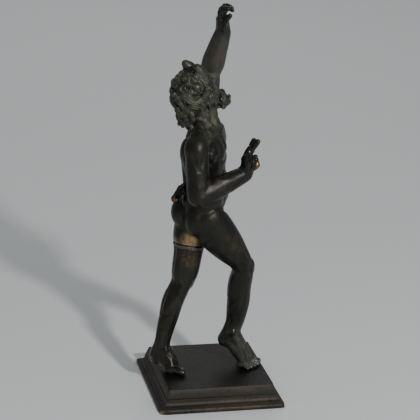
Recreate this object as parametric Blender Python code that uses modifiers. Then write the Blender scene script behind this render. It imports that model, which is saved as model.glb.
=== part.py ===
"""Bronze statuette of a dancing faun on a moulded square plinth.

Metres, +Z up. The origin is the middle of the plinth's underside, +X runs along its front edge.
The figure is one casting that stands on the plinth, which is a casting of its own.
"""

import math

import bmesh
import bpy
from mathutils import Matrix, Vector

# Plinth, in metres, from its underside up
PLINTH_SIDE = 0.098
FILLET_HEIGHT = 0.0018
OVOLO_HEIGHT = 0.0022
OVOLO_SETBACK = 0.0024
STEP_HEIGHT = 0.0004
COVE_HEIGHT = 0.0050
COVE_SETBACK = 0.0032
GROOVE_HEIGHT = 0.0005
GROOVE_DEPTH = 0.0006
FASCIA_STEP = 0.0004
FASCIA_HEIGHT = 0.0066
FASCIA_SETBACK = 0.0021
ARRIS = 0.0005
PLINTH_HEIGHT = FILLET_HEIGHT + OVOLO_HEIGHT + STEP_HEIGHT + COVE_HEIGHT + GROOVE_HEIGHT + FASCIA_HEIGHT

# Figure, in metres, from its soles to its raised fingertips
FIGURE_HEIGHT = 0.284
SEAT_GAP = 0.0003

# The figure is laid out in units of 1/284 of its height.
UNIT = FIGURE_HEIGHT / 284
BODY_VOXEL = 1.2 * UNIT
SKIN_VOXEL = 0.9 * UNIT
FIGURE_TRIANGLES = 8800

# Joints of the pose, in units from the middle of the plinth's top
JOINTS = {
    "pelvis": Vector((-16.0, -3.5, 127)),
    "waist": Vector((-11.5, -4.0, 149)),
    "chest": Vector((-13.5, -4.0, 173)),
    "neck": Vector((-15.0, -2.0, 197)),
    "skull": Vector((-20.5, 0.0, 223)),
    "hip_r": Vector((-9.5, -13.0, 124)),
    "knee_r": Vector((20.0, -9.0, 83.5)),
    "ankle_r": Vector((15.8, -1.0, 29.0)),
    "heel_r": Vector((10.5, 3.0, 20.5)),
    "ball_r": Vector((25.5, -4.0, 3.8)),
    "hip_l": Vector((-17.5, 7.0, 122)),
    "knee_l": Vector((-24.5, 2.5, 70)),
    "ankle_l": Vector((-39.0, -3.8, 19.0)),
    "heel_l": Vector((-44.5, -0.5, 10.5)),
    "ball_l": Vector((-34.0, -8.5, 3.8)),
    "shoulder_r": Vector((-25.0, -26.0, 191)),
    "elbow_r": Vector((-24.0, -34.0, 150)),
    "wrist_r": Vector((13.5, -26.0, 165.5)),
    "shoulder_l": Vector((-9.5, 18.0, 196)),
    "elbow_l": Vector((-4.0, 28.0, 230)),
    "wrist_l": Vector((2.0, 18.0, 262.2)),
}
HIPS_FACING = 25
CHEST_FACING = -25
HEAD_FACING = 26
HEAD_TILT = 40
TOES_FACING = -22


def heading(angle):
    """Horizontal direction at this angle in degrees from +X."""
    return Vector((math.cos(math.radians(angle)), math.sin(math.radians(angle)), 0))


def blend(values, place):
    """Catmull-Rom value at a place from 0 to len(values) - 1."""
    last = len(values) - 1
    i = min(int(place), last - 1)
    t = place - i
    a, b = values[i], values[i + 1]
    before = values[i - 1] if i > 0 else a * 2 - b
    after = values[i + 2] if i + 2 <= last else b * 2 - a
    return (
        a * 2
        + (b - before) * t
        + (before * 2 - a * 5 + b * 4 - after) * (t * t)
        + (a * 3 - before - b * 3 + after) * (t * t * t)
    ) * 0.5


class Clay:
    """Closed masses that overlap in one mesh until they are fused into one skin."""

    def __init__(self, sides=12):
        self.mesh = bmesh.new()
        self.sides = sides

    def lump(self, centre, radii, forward=(1, 0, 0), up=(0, 0, 1)):
        """An ellipsoid with its radii along forward, across and up."""
        x = Vector(forward).normalized()
        y = Vector(up).cross(x).normalized()
        turn = Matrix((x, y, x.cross(y))).transposed().to_4x4()
        place = Matrix.Translation(centre) @ turn @ Matrix.Diagonal((*radii, 1))
        bmesh.ops.create_uvsphere(
            self.mesh, u_segments=14, v_segments=8, radius=1, matrix=place
        )

    def limb(self, path, deep, wide=None, facing=(1, 0, 0), steps=4):
        """A loft of oval rings along a smooth path, domed at both ends.

        deep is the half thickness along facing and wide the half thickness across it.
        """
        wide = wide or deep
        facings = facing if isinstance(facing, list) else [Vector(facing)] * len(path)
        last = len(path) - 1
        stations = []
        for i in range(last * steps + 1):
            place = i / steps
            along = blend(path, min(place + 0.05, last)) - blend(path, max(place - 0.05, 0))
            along.normalize()
            front = blend(facings, place)
            front = (front - along * front.dot(along)).normalized()
            size = (max(blend(deep, place), 0.1), max(blend(wide, place), 0.1))
            stations.append((blend(path, place), along, front, size))
        start = self.dome(stations[0], -1)
        end = self.dome(stations[-1], 1)
        rings = [self.ring(*station) for station in start[::-1] + stations + end]
        for low, high in zip(rings, rings[1:]):
            for k in range(self.sides):
                n = (k + 1) % self.sides
                self.mesh.faces.new((low[k], low[n], high[n], high[k]))
        self.mesh.faces.new(rings[0][::-1])
        self.mesh.faces.new(rings[-1])

    def dome(self, station, sign):
        """Rings that close a limb's end with a rounded tip."""
        here, along, front, (deep, wide) = station
        reach = 0.8 * sign * min(deep, wide)
        return [
            (
                here + along * (reach * math.sin(angle)),
                along,
                front,
                (deep * math.cos(angle), wide * math.cos(angle)),
            )
            for angle in (0.5, 1.0, 1.4)
        ]

    def ring(self, here, along, front, size):
        side = along.cross(front)
        loop = []
        for k in range(self.sides):
            turn = 2 * math.pi * k / self.sides
            offset = front * (size[0] * math.cos(turn)) + side * (size[1] * math.sin(turn))
            loop.append(self.mesh.verts.new(here + offset))
        return loop


def torso(clay):
    """Trunk and neck, turned from the hips' facing to the chest's."""
    pelvis, waist, chest, neck = (JOINTS[n] for n in ("pelvis", "waist", "chest", "neck"))
    hips = heading(HIPS_FACING)
    middle = heading((HIPS_FACING + CHEST_FACING) / 2)
    front = heading(CHEST_FACING)
    left = heading(CHEST_FACING + 90)
    rise = Vector((0, 0, 1))
    clay.limb(
        [pelvis - rise * 9, pelvis, pelvis.lerp(waist, 0.55), waist, waist.lerp(chest, 0.5)],
        deep=[10, 14, 15, 15.5, 15.5],
        wide=[13, 19, 18.5, 17.5, 18],
        facing=[hips, hips, hips.lerp(middle, 0.6), middle, middle.lerp(front, 0.6)],
    )
    clay.limb(
        [waist.lerp(chest, 0.5), chest, chest + rise * 10, chest + rise * 19],
        deep=[15.5, 17, 15.5, 10],
        wide=[18, 20.5, 20, 12],
        facing=front,
    )
    # Chest, shoulder blades, flanks and the two columns beside the spine
    for side, lift in ((1, 5), (-1, 0)):
        out = left * side
        clay.lump(chest + front * 9.5 + out * 9 + rise * (5 + lift), (6, 10.5, 9 + lift), front)
        clay.lump(chest - front * 11 + out * 11 + rise * (5 + lift), (5, 8, 11), front)
        clay.limb(
            [chest + out * 17 + rise * (9 + lift), chest + out * 18 - front * 3, waist + out * 14],
            deep=[9, 9.5, 8],
            wide=[4.5, 5, 3],
            facing=front,
        )
        clay.limb(
            [
                pelvis - hips * 10 + out * 4 + rise * 12,
                waist - middle * 11 + out * 4.5,
                chest - front * 12.5 + out * 4.5,
            ],
            deep=[4, 4.5, 4],
            facing=front,
        )
        flank = pelvis.lerp(waist, 0.6)
        clay.lump(flank + heading(HIPS_FACING - 15 + 90) * (14 * side), (9.5, 5, 8), hips)
    clay.limb(
        [pelvis + hips * 10 - rise * 4, waist + middle * 12 - rise * 6, waist + middle * 12 + rise * 9],
        deep=[5, 6, 4.5],
        wide=[9, 9, 9.5],
        facing=middle,
    )
    # Neck, with the slopes that run from it to the shoulders
    nape = neck.lerp(JOINTS["skull"], 0.6)
    clay.limb(
        [chest + rise * 12, neck - rise * 2, nape],
        deep=[12, 9.2, 8.6],
        wide=[13, 9, 8],
        facing=front,
    )
    for name in ("shoulder_r", "shoulder_l"):
        clay.limb(
            [neck.lerp(nape, 0.5), neck.lerp(JOINTS[name], 0.45) + rise * 2, JOINTS[name]],
            deep=[5, 8, 8.5],
            facing=front,
        )
    clay.limb([JOINTS["shoulder_l"], chest + front * 9 + left * 8 + rise * 14], deep=[8, 6], facing=front)
    clay.limb([neck - front * 3, chest - front * 11 + rise * 8], deep=[7, 5], wide=[9, 5], facing=front)


def leg(clay, side):
    """One leg from the hip to the ankle, with its main muscles."""
    hip, knee, ankle = (JOINTS[n + side] for n in ("hip_", "knee_", "ankle_"))
    thigh = (knee - hip).normalized()
    shin = (ankle - knee).normalized()
    front = heading(HIPS_FACING - 10 if side == "l" else -8)
    front = (front - shin * front.dot(shin)).normalized()
    outer = shin.cross(front) * (1 if side == "l" else -1)
    lap = (front - thigh * front.dot(thigh)).normalized()
    bulk = 0.9 if side == "l" else 1.0
    clay.limb(
        [hip - thigh * 4, hip.lerp(knee, 0.25), hip.lerp(knee, 0.55) + lap, hip.lerp(knee, 0.82), knee],
        deep=[15 * bulk, 15 * bulk, 13 * bulk, 10.2, 8.8],
        wide=[12.5 * bulk, 13 * bulk, 11.5 * bulk, 9.2, 8.4],
        facing=lap,
    )
    middle = hip.lerp(knee, 0.5)
    clay.lump(middle + lap * 5.5 * bulk + outer * 2, (7.5 * bulk, 7, 19), lap, -thigh)
    clay.lump(hip.lerp(knee, 0.72) + lap * 3.5 - outer * 4, (6, 4.6, 10), lap, -thigh)
    clay.lump(hip.lerp(knee, 0.55) - lap * 5.5 * bulk, (6.5 * bulk, 8, 18), lap, -thigh)
    clay.lump(knee + front * 3.4, (5.8, 5.4, 6.5), front, -shin)
    clay.limb(
        [
            knee - shin * 2,
            knee.lerp(ankle, 0.28) - front * 2.4,
            knee.lerp(ankle, 0.55) - front * 1.4,
            knee.lerp(ankle, 0.82),
            ankle,
        ],
        deep=[8.2, 7.4, 6.6, 6.0, 6.0],
        wide=[8.0, 7.8, 6.4, 5.0, 5.2],
        facing=front,
    )
    calf = knee.lerp(ankle, 0.3) - front * 3.4
    clay.lump(calf + outer * 2.4, (5.0, 4.6, 11.5), front, -shin)
    clay.lump(calf - outer * 2.4 + shin * 2, (5.0, 4.6, 12.5), front, -shin)


def buttocks(clay):
    """Both gluteal masses, the trailing leg's one rounder and the leading leg's stretched."""
    pelvis = JOINTS["pelvis"]
    front = heading(HIPS_FACING)
    left = heading(HIPS_FACING + 90)
    clay.lump(pelvis - front * 6.5 + left * 8.5 + Vector((0, 0, 1)), (11, 9.5, 13), front)
    clay.lump(pelvis - front * 5.5 - left * 8.5 - Vector((0, 0, 2)), (11, 9.5, 13), front)
    clay.lump(pelvis + front * 2 - left * 9.5 - Vector((0, 0, 4)), (13, 9.5, 12), front)
    clay.lump(pelvis + front * 13 - Vector((0, 0, 12)), (3.6, 3.2, 4.8), front)


def foot(clay, side):
    """One foot that stands on its toes and the ball, with the heel raised."""
    ankle, heel, ball = (JOINTS[n + side] for n in ("ankle_", "heel_", "ball_"))
    toes = heading(TOES_FACING)
    inner = heading(TOES_FACING - 90 if side == "l" else TOES_FACING + 90)
    rise = Vector((0, 0, 1))
    instep = ankle.lerp(ball, 0.5) + rise * 2
    clay.limb([ankle, heel + toes * 2], deep=[6.2, 5.0], wide=[5.2, 4.6], facing=toes)
    clay.limb(
        [heel + toes * 1.5, heel.lerp(ball, 0.4) + rise * 1.5, heel.lerp(ball, 0.75) + rise, ball],
        deep=[4.6, 4.8, 4.2, 3.6],
        wide=[4.6, 5.4, 6.2, 6.8],
        facing=rise,
    )
    clay.limb(
        [ankle + toes, instep, ball + rise * 0.5],
        deep=[5.4, 4.6, 3.4],
        wide=[5.0, 5.6, 6.6],
        facing=rise,
    )
    clay.lump(ball + inner * 4.2 - rise * 0.4, (4.6, 3.2, 3.6), toes)
    toe_radii = (2.5, 1.9, 1.8, 1.7, 1.7)
    toe_lengths = (12, 11.5, 10.3, 9, 7.5)
    for k, (radius, length) in enumerate(zip(toe_radii, toe_lengths)):
        root = ball + inner * (4.6 - 2.75 * k) + rise * (radius - ball.z + 0.3) - toes * (0.4 * k)
        way = (toes + inner * (0.05 - 0.06 * k)).normalized()
        clay.limb(
            [root, root + way * (length * 0.5) + rise * 0.9, root + way * length - rise * 0.3],
            deep=[radius * 1.1, radius * 0.85, radius],
            facing=rise,
            steps=2,
        )


def arm(clay, side):
    """One arm from the shoulder to the wrist."""
    shoulder, elbow, wrist = (JOINTS[n + side] for n in ("shoulder_", "elbow_", "wrist_"))
    upper = (elbow - shoulder).normalized()
    front = heading(CHEST_FACING)
    clay.lump(shoulder + upper * 4.5, (9.5, 9, 12.5), front, -upper)
    clay.limb(
        [shoulder, shoulder.lerp(elbow, 0.45), shoulder.lerp(elbow, 0.8), elbow],
        deep=[8.5, 8.4, 7.6, 7.0],
        wide=[8.0, 7.4, 6.6, 6.6],
        facing=front,
    )
    clay.limb(
        [elbow, elbow.lerp(wrist, 0.25), elbow.lerp(wrist, 0.6), wrist],
        deep=[7.4, 8.4, 7.0, 5.2],
        wide=[7.0, 7.6, 6.4, 5.4],
        facing=Vector((0, 0, 1)) if side == "r" else front,
    )


def finger(clay, root, way, palm, bends, length, radius):
    """Three bones, each turned by its bend in degrees from the one before towards the palm."""
    bones = [root]
    turned = 0
    for share, bend in zip((0.42, 0.32, 0.26), bends):
        turned += math.radians(bend)
        step = way * math.cos(turned) + palm * math.sin(turned)
        bones.append(bones[-1] + step * (length * share))
    clay.limb(bones, deep=[radius, radius, radius * 0.9, radius * 0.75], steps=3)


def hand(clay, side):
    """A hand with its palm, four fingers and a thumb."""
    wrist = JOINTS["wrist_" + side]
    if side == "r":
        way = Vector((0.10, 0.05, 1)).normalized()
        palm = heading(-25)
        bends = ((10, 4, 4), (18, 4, 4), (70, 78, 50), (76, 84, 50))
    else:
        way = Vector((-0.16, -0.06, 1)).normalized()
        palm = heading(-30)
        bends = ((8, 36, 50), (4, 44, 56), (10, 46, 56), (18, 48, 56))
    palm = (palm - way * palm.dot(way)).normalized()
    thumb_side = way.cross(palm) * (1 if side == "r" else -1)
    knuckles = wrist + way * 12
    clay.limb(
        [wrist, wrist + way * 5, knuckles],
        deep=[4.9, 4.0, 3.4],
        wide=[5.2, 5.8, 6.2],
        facing=palm,
    )
    lengths = (13.5, 15, 13.5, 11)
    for k, (length, bend) in enumerate(zip(lengths, bends)):
        root = knuckles + thumb_side * (4.3 - 2.85 * k) - way * (1 + 0.5 * abs(k - 1))
        spread = (way + thumb_side * (0.09 - 0.06 * k)).normalized()
        finger(clay, root, spread, palm, bend, length, 2.15 - 0.1 * k)
    thumb_way = (way * 0.9 + palm * 0.4 + thumb_side * 0.2).normalized()
    finger(
        clay,
        wrist + way * 3 + thumb_side * 3.6 + palm * 1.5,
        thumb_way,
        (palm - thumb_way * palm.dot(thumb_way)).normalized(),
        (0, 15, 20),
        12,
        2.3,
    )


def head_axes():
    """Forward, left and up directions of the thrown-back head."""
    tilt = math.radians(HEAD_TILT)
    forward = heading(HEAD_FACING) * math.cos(tilt) + Vector((0, 0, math.sin(tilt)))
    left = heading(HEAD_FACING + 90)
    return forward, left, forward.cross(left)


def head(clay):
    """Skull, face, pointed ears and small horns."""
    forward, left, up = head_axes()

    def at(ahead, aside, above):
        return JOINTS["skull"] + forward * ahead + left * aside + up * above

    clay.lump(at(-1, 0, 3), (14.5, 12, 13), forward, up)
    clay.lump(at(5.5, 0, -6.5), (8.5, 8.4, 11), forward, up)
    clay.limb([at(13, 0, 2), at(15.6, 0, -5)], deep=[1.6, 2.2], wide=[1.5, 2.4], facing=forward)
    clay.lump(at(12.2, 0, 3.2), (2.2, 7.6, 1.6), forward, up)
    clay.lump(at(12.2, 0, -9), (2.4, 3.8, 1.6), forward, up)
    clay.lump(at(9.5, 0, -16), (4.5, 5.2, 5.5), forward, up)
    for side in (1, -1):
        clay.lump(at(10.2, 4.6 * side, -4.2), (3.4, 3.2, 3), forward, up)
        clay.limb(
            [at(0.5, 11 * side, -2), at(-1.5, 14.5 * side, 2), at(-4, 17 * side, 6.5)],
            deep=[3.2, 3.2, 1.0],
            wide=[1.8, 1.8, 0.9],
            facing=forward,
        )
        clay.limb(
            [at(10.5, 5 * side, 9), at(13, 5.6 * side, 14), at(11.5, 6.2 * side, 19)],
            deep=[2.8, 2.4, 1.0],
        )


def lock(clay, root, flow, out, length, width):
    """A flat lock of hair that lies along flow and hooks outwards at its tip."""
    across = out.cross(flow).normalized()
    path = [
        root - flow * (length * 0.3) - out * (width * 0.5),
        root + out * (width * 0.25),
        root + flow * (length * 0.35) + out * (width * 0.15) + across * (width * 0.4),
        root + flow * (length * 0.62) + out * (width * 0.35),
        root + flow * (length * 0.6) + out * (width * 0.75) - across * (width * 0.55),
    ]
    clay.limb(
        path,
        deep=[width * 0.45, width * 0.5, width * 0.45, width * 0.38, width * 0.25],
        wide=[width * 0.6, width * 0.8, width * 0.6, width * 0.42, width * 0.25],
        facing=out,
        steps=2,
    )


def hair(clay):
    """Rows of hooked locks from the crown to the nape and a short curled beard."""
    forward, left, up = head_axes()
    centre = JOINTS["skull"] - forward * 0.5 + up * 2
    clay.lump(centre, (16.5, 14.5, 15), forward, up)
    crown = (up - forward * 0.35).normalized()
    ahead = (forward - crown * forward.dot(crown)).normalized()
    rows = ((12, 3), (36, 8), (60, 11), (84, 12), (108, 11), (130, 8))
    for row, (angle, count) in enumerate(rows):
        for k in range(count):
            around = 2 * math.pi * (k + 0.5 * (row % 2)) / count
            spoke = ahead * math.cos(around) + left * math.sin(around)
            tilt = math.radians(angle)
            out = crown * math.cos(tilt) + spoke * math.sin(tilt)
            if out.dot(forward) > 0.5 and angle > 50:
                continue
            flow = spoke * math.cos(tilt) - crown * math.sin(tilt)
            swirl = out.cross(flow) * (0.45 if (k + row) % 2 else -0.35)
            root = centre + Vector(
                forward * (16 * out.dot(forward)) + left * (14 * out.dot(left)) + up * (14.5 * out.dot(up))
            )
            lock(clay, root, (flow + swirl).normalized(), out, 11, 4.4)
    # Nape locks hang down towards the shoulder blades.
    down = Vector((0, 0, -1))
    for k in range(5):
        aside = left * (2.9 * (k - 2))
        root = centre - forward * 11 - up * 9 + aside
        out = (-forward + left * (0.25 * (k - 2))).normalized()
        clay.limb(
            [root, root + down * 7 + out * 1.5, root + down * 14 - out * 1.5, root + down * 20 + out * 0.5],
            deep=[3.2, 3.0, 2.4, 1.0],
            steps=3,
        )
    # The beard's locks jut forward from the jaw, the lowest tier furthest.
    tiers = ((10, 7, 6), (14, 9, 5), (18, 10, 4), (21, 11, 2))
    for tier, (drop, ahead_by, count) in enumerate(tiers):
        for k in range(count):
            spread = (2 * k - count + 1) / count
            root = (
                JOINTS["skull"]
                + forward * (ahead_by - 6 * abs(spread))
                + left * (8.4 * spread)
                - up * drop
            )
            out = (forward * 0.75 + left * (0.8 * spread) - up * 0.35).normalized()
            flow = (forward * 0.45 - up).normalized()
            flow = (flow - out * flow.dot(out)).normalized()
            lock(clay, root + out, flow, out, 9.5 + tier, 4.2)


def tail(clay):
    """A short tufted tail that springs from the sacrum."""
    back = -heading(HIPS_FACING)
    root = JOINTS["pelvis"] + back * 10.5 + Vector((0, 0, 21.5))
    clay.limb(
        [
            root - back * 3,
            root + back * 5 + Vector((0, 0, 1.5)),
            root + back * 11 - Vector((0, 0, 1)),
            root + back * 15 - Vector((0, 0, 5)),
        ],
        deep=[3.4, 3.0, 3.0, 2.0],
    )


def skinned(clay, name, voxel, rounds):
    """Fuses overlapping masses into one closed skin and softens it."""
    mesh = bpy.data.meshes.new(name)
    bmesh.ops.recalc_face_normals(clay.mesh, faces=clay.mesh.faces)
    clay.mesh.to_mesh(mesh)
    clay.mesh.free()
    figure = bpy.data.objects.new(name, mesh)
    part_collection.objects.link(figure)
    remesh = figure.modifiers.new("skin", "REMESH")
    remesh.mode = "VOXEL"
    remesh.voxel_size = voxel
    soften = figure.modifiers.new("soften", "SMOOTH")
    soften.factor = 0.5
    soften.iterations = rounds
    apply_modifiers(figure)
    return figure


def apply_modifiers(figure):
    graph = bpy.context.evaluated_depsgraph_get()
    figure.data = bpy.data.meshes.new_from_object(figure.evaluated_get(graph))
    figure.modifiers.clear()


def press_soles(figure):
    """Flattens whatever reaches below the seat on the plinth."""
    for vertex in figure.data.vertices:
        vertex.co.z = max(vertex.co.z, PLINTH_HEIGHT + SEAT_GAP)


def make_faun():
    """The whole figure: a soft body first, then hands, feet, head and hair fused onto it."""
    body = Clay()
    torso(body)
    buttocks(body)
    for side in ("r", "l"):
        leg(body, side)
        arm(body, side)
    to_plinth = Matrix.Translation((0, 0, PLINTH_HEIGHT + SEAT_GAP)) @ Matrix.Scale(UNIT, 4)
    bmesh.ops.transform(body.mesh, matrix=to_plinth, verts=body.mesh.verts)
    soft = skinned(body, "body", BODY_VOXEL, 10)

    details = Clay()
    for side in ("r", "l"):
        foot(details, side)
        hand(details, side)
    head(details)
    hair(details)
    tail(details)
    bmesh.ops.transform(details.mesh, matrix=to_plinth, verts=details.mesh.verts)
    details.mesh.from_mesh(soft.data)
    bpy.data.objects.remove(soft)
    figure = skinned(details, "faun", SKIN_VOXEL, 3)

    press_soles(figure)
    thin = figure.modifiers.new("thin", "DECIMATE")
    triangles = sum(len(face.vertices) - 2 for face in figure.data.polygons)
    thin.ratio = FIGURE_TRIANGLES / triangles
    thin.use_collapse_triangulate = True
    apply_modifiers(figure)
    press_soles(figure)
    figure.data.shade_smooth()
    figure.data.materials.append(bronze("figure_bronze", (0.030, 0.026, 0.018), 0.42))


def arc(centre, radii, start, end, count):
    """Points on an ellipse's arc, angles in degrees."""
    points = []
    for i in range(count + 1):
        angle = math.radians(start + (end - start) * i / count)
        points.append(
            (centre[0] + radii[0] * math.cos(angle), centre[1] + radii[1] * math.sin(angle))
        )
    return points


def make_plinth():
    """Square plinth: one profile turned through four steps, so each turn is a mitred corner."""
    half = PLINTH_SIDE / 2
    shelf = half - OVOLO_SETBACK
    cove_foot = FILLET_HEIGHT + OVOLO_HEIGHT + STEP_HEIGHT
    cove_top = cove_foot + COVE_HEIGHT
    cove_neck = shelf - COVE_SETBACK
    band = cove_neck - FASCIA_STEP
    band_foot = cove_top + GROOVE_HEIGHT
    top = band - FASCIA_SETBACK
    outline = [(0, PLINTH_HEIGHT)]
    outline += arc((top - ARRIS, PLINTH_HEIGHT - ARRIS), (ARRIS, ARRIS), 90, 0, 2)
    outline.append((band, band_foot))
    outline.append((band - GROOVE_DEPTH, band_foot))
    outline.append((band - GROOVE_DEPTH, cove_top))
    outline += arc((shelf, cove_top), (COVE_SETBACK, COVE_HEIGHT), 180, 270, 6)
    outline += arc((shelf, FILLET_HEIGHT), (OVOLO_SETBACK, OVOLO_HEIGHT), 90, 0, 4)
    outline.append((half, 0))
    outline.append((0, 0))
    profile = bpy.data.meshes.new("plinth")
    points = [(x * math.sqrt(2), 0, z) for x, z in outline]
    profile.from_pydata(points, [(i, i + 1) for i in range(len(points) - 1)], [])
    plinth = bpy.data.objects.new("plinth", profile)
    part_collection.objects.link(plinth)
    plinth.rotation_euler.z = math.radians(45)
    turn = plinth.modifiers.new("four sides", "SCREW")
    turn.steps = 4
    turn.render_steps = 4
    turn.use_merge_vertices = True
    turn.merge_threshold = 0.00001
    turn.use_smooth_shade = False
    plinth.data.materials.append(bronze("plinth_bronze", (0.034, 0.029, 0.024), 0.5))


def bronze(name, colour, roughness):
    """Dark patinated bronze."""
    material = bpy.data.materials.new(name)
    material.use_nodes = True
    shader = material.node_tree.nodes["Principled BSDF"]
    shader.inputs["Base Color"].default_value = (*colour, 1)
    shader.inputs["Metallic"].default_value = 0.85
    shader.inputs["Roughness"].default_value = roughness
    return material


for old in list(bpy.data.objects):
    bpy.data.objects.remove(old)
part_collection = bpy.data.collections.new("dancing_faun")
bpy.context.scene.collection.children.link(part_collection)
make_plinth()
make_faun()
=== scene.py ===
"""Bronze statuette of a dancing faun on a moulded square plinth."""

import math
import random
from functools import partial

import bpy
import numpy as np
from mathutils import Matrix, Vector
from mathutils.bvhtree import BVHTree


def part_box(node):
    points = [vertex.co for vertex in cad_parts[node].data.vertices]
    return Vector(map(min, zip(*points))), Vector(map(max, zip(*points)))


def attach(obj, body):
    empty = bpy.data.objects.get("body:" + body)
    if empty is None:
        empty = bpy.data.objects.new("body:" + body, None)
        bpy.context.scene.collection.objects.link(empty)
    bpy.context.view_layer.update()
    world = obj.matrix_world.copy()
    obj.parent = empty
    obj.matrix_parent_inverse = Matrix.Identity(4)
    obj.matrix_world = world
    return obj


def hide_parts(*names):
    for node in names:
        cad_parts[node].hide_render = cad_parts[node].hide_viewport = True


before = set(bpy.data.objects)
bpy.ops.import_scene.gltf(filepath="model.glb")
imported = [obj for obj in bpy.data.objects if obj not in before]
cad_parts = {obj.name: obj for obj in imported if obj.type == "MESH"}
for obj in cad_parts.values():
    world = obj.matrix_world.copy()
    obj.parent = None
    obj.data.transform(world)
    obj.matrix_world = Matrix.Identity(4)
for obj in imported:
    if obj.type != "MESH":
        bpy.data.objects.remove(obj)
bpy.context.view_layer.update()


# Camera and room
# The camera stands a little over a metre off, above the head of the figure, and looks down on it.
# The statuette stands on a pale sheet that runs on behind it, under soft lamps.

CAMERA_PLACE = (-0.27952, -1.11227, 0.53579)
CAMERA_YAW = math.radians(-13.8166)
CAMERA_PITCH = math.radians(18.8302)
CAMERA_ROLL = math.radians(2.7421)
LENS, FILM = 137.14, 36
PAPER_SIZE = 12
AIM = Vector((0, 0, 0.15))

ahead = Vector((
    -math.sin(CAMERA_YAW) * math.cos(CAMERA_PITCH),
    math.cos(CAMERA_YAW) * math.cos(CAMERA_PITCH),
    -math.sin(CAMERA_PITCH),
))
level = Vector((math.cos(CAMERA_YAW), math.sin(CAMERA_YAW), 0))
roll = Matrix.Rotation(CAMERA_ROLL, 3, -ahead)
right = roll @ level
camera = bpy.data.objects.new("camera", bpy.data.cameras.new("camera"))
camera.data.lens = LENS
camera.data.sensor_width = FILM
camera.matrix_world = Matrix.Translation(CAMERA_PLACE) @ Matrix(
    (right, -ahead.cross(right), -ahead)
).transposed().to_4x4()
bpy.context.scene.collection.objects.link(camera)
bpy.context.scene.camera = camera


def select_none():
    bpy.ops.object.select_all(action="DESELECT")


select_none()
bpy.ops.mesh.primitive_plane_add(size=PAPER_SIZE, location=(0, PAPER_SIZE / 4, 0))
floor = bpy.context.object
floor.name = "floor"
paper = bpy.data.materials.new("paper")
paper.use_nodes = True
matt_white = paper.node_tree.nodes["Principled BSDF"]
matt_white.inputs["Base Color"].default_value = (0.78, 0.80, 0.80, 1)
matt_white.inputs["Roughness"].default_value = 0.9
floor.data.materials.append(paper)

for name, place, size, power in (
    ("lamp_right", (0.34, -1.20, 0.82), 0.09, 13),
    ("lamp_back", (0.2, 1.5, 1.5), 1.4, 7),
):
    light = bpy.data.lights.new(name, "AREA")
    light.size = size
    light.energy = power
    lamp = bpy.data.objects.new(name, light)
    lamp.location = place
    lamp.rotation_euler = (AIM - lamp.location).to_track_quat("-Z", "Y").to_euler()
    bpy.context.scene.collection.objects.link(lamp)
room = bpy.data.worlds.new("room")
room.use_nodes = True
walls = room.node_tree.nodes["Background"]
walls.inputs["Color"].default_value = (0.80, 0.83, 0.85, 1)
walls.inputs["Strength"].default_value = 0.34
bpy.context.scene.world = room


# Plinth
# A thin-walled square casting with an ovolo lip, a cove and a flat band, patinated brown-black and
# rubbed along its edges. Its front left corner has been knocked round.

PLINTH_SIDE = 0.098
PLINTH_RISES = (  # height and half side of each level of the moulding, from the table up
    (0.0000, 0.0490), (0.0018, 0.0490), (0.0026, 0.0488), (0.0033, 0.0482), (0.0038, 0.0475),
    (0.0040, 0.0466), (0.0044, 0.0466), (0.0046, 0.0455), (0.0052, 0.0446), (0.0062, 0.0439),
    (0.0076, 0.0435), (0.0094, 0.0434), (0.0094, 0.0424), (0.0099, 0.0424), (0.0099, 0.0430),
    (0.0165, 0.0409),
)
PLINTH_SPANS = 23
EDGE_EASE = 0.00022
KNOCK_WIDTH, KNOCK_SPREAD = 0.0015, 0.0045
BUMP_DEPTH = 0.00010
MM = 1000  # millimetres in a metre


class Sum:
    """A number of a material that ordinary arithmetic works on."""

    def __init__(self, owner, socket):
        self.owner = owner
        self.socket = socket

    def math(self, operation, *values):
        node = self.owner.node("Math", {"operation": operation}, dict(enumerate(values)))
        return Sum(self.owner, node.outputs[0])

    def __add__(self, other):
        return self.math("ADD", self, other)

    def __sub__(self, other):
        return self.math("SUBTRACT", self, other)

    def __rsub__(self, other):
        return self.math("SUBTRACT", other, self)

    def __mul__(self, other):
        return self.math("MULTIPLY", self, other)

    __radd__ = __add__
    __rmul__ = __mul__

    def most(self, *others):
        """The greatest of this number and the others."""
        greatest = self
        for other in others:
            greatest = greatest.math("MAXIMUM", greatest, other)
        return greatest

    def size(self):
        return self.math("ABSOLUTE", self)

    def ramp(self, low, high):
        """0 below low and 1 above high, or the other way round where low is the greater."""
        rises = low < high
        node = self.owner.node("MapRange", {"interpolation_type": "SMOOTHSTEP"}, {
            "Value": self, "From Min": min(low, high), "From Max": max(low, high),
            "To Min": 0 if rises else 1, "To Max": 1 if rises else 0,
        })
        return Sum(self.owner, node.outputs["Result"])


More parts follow.
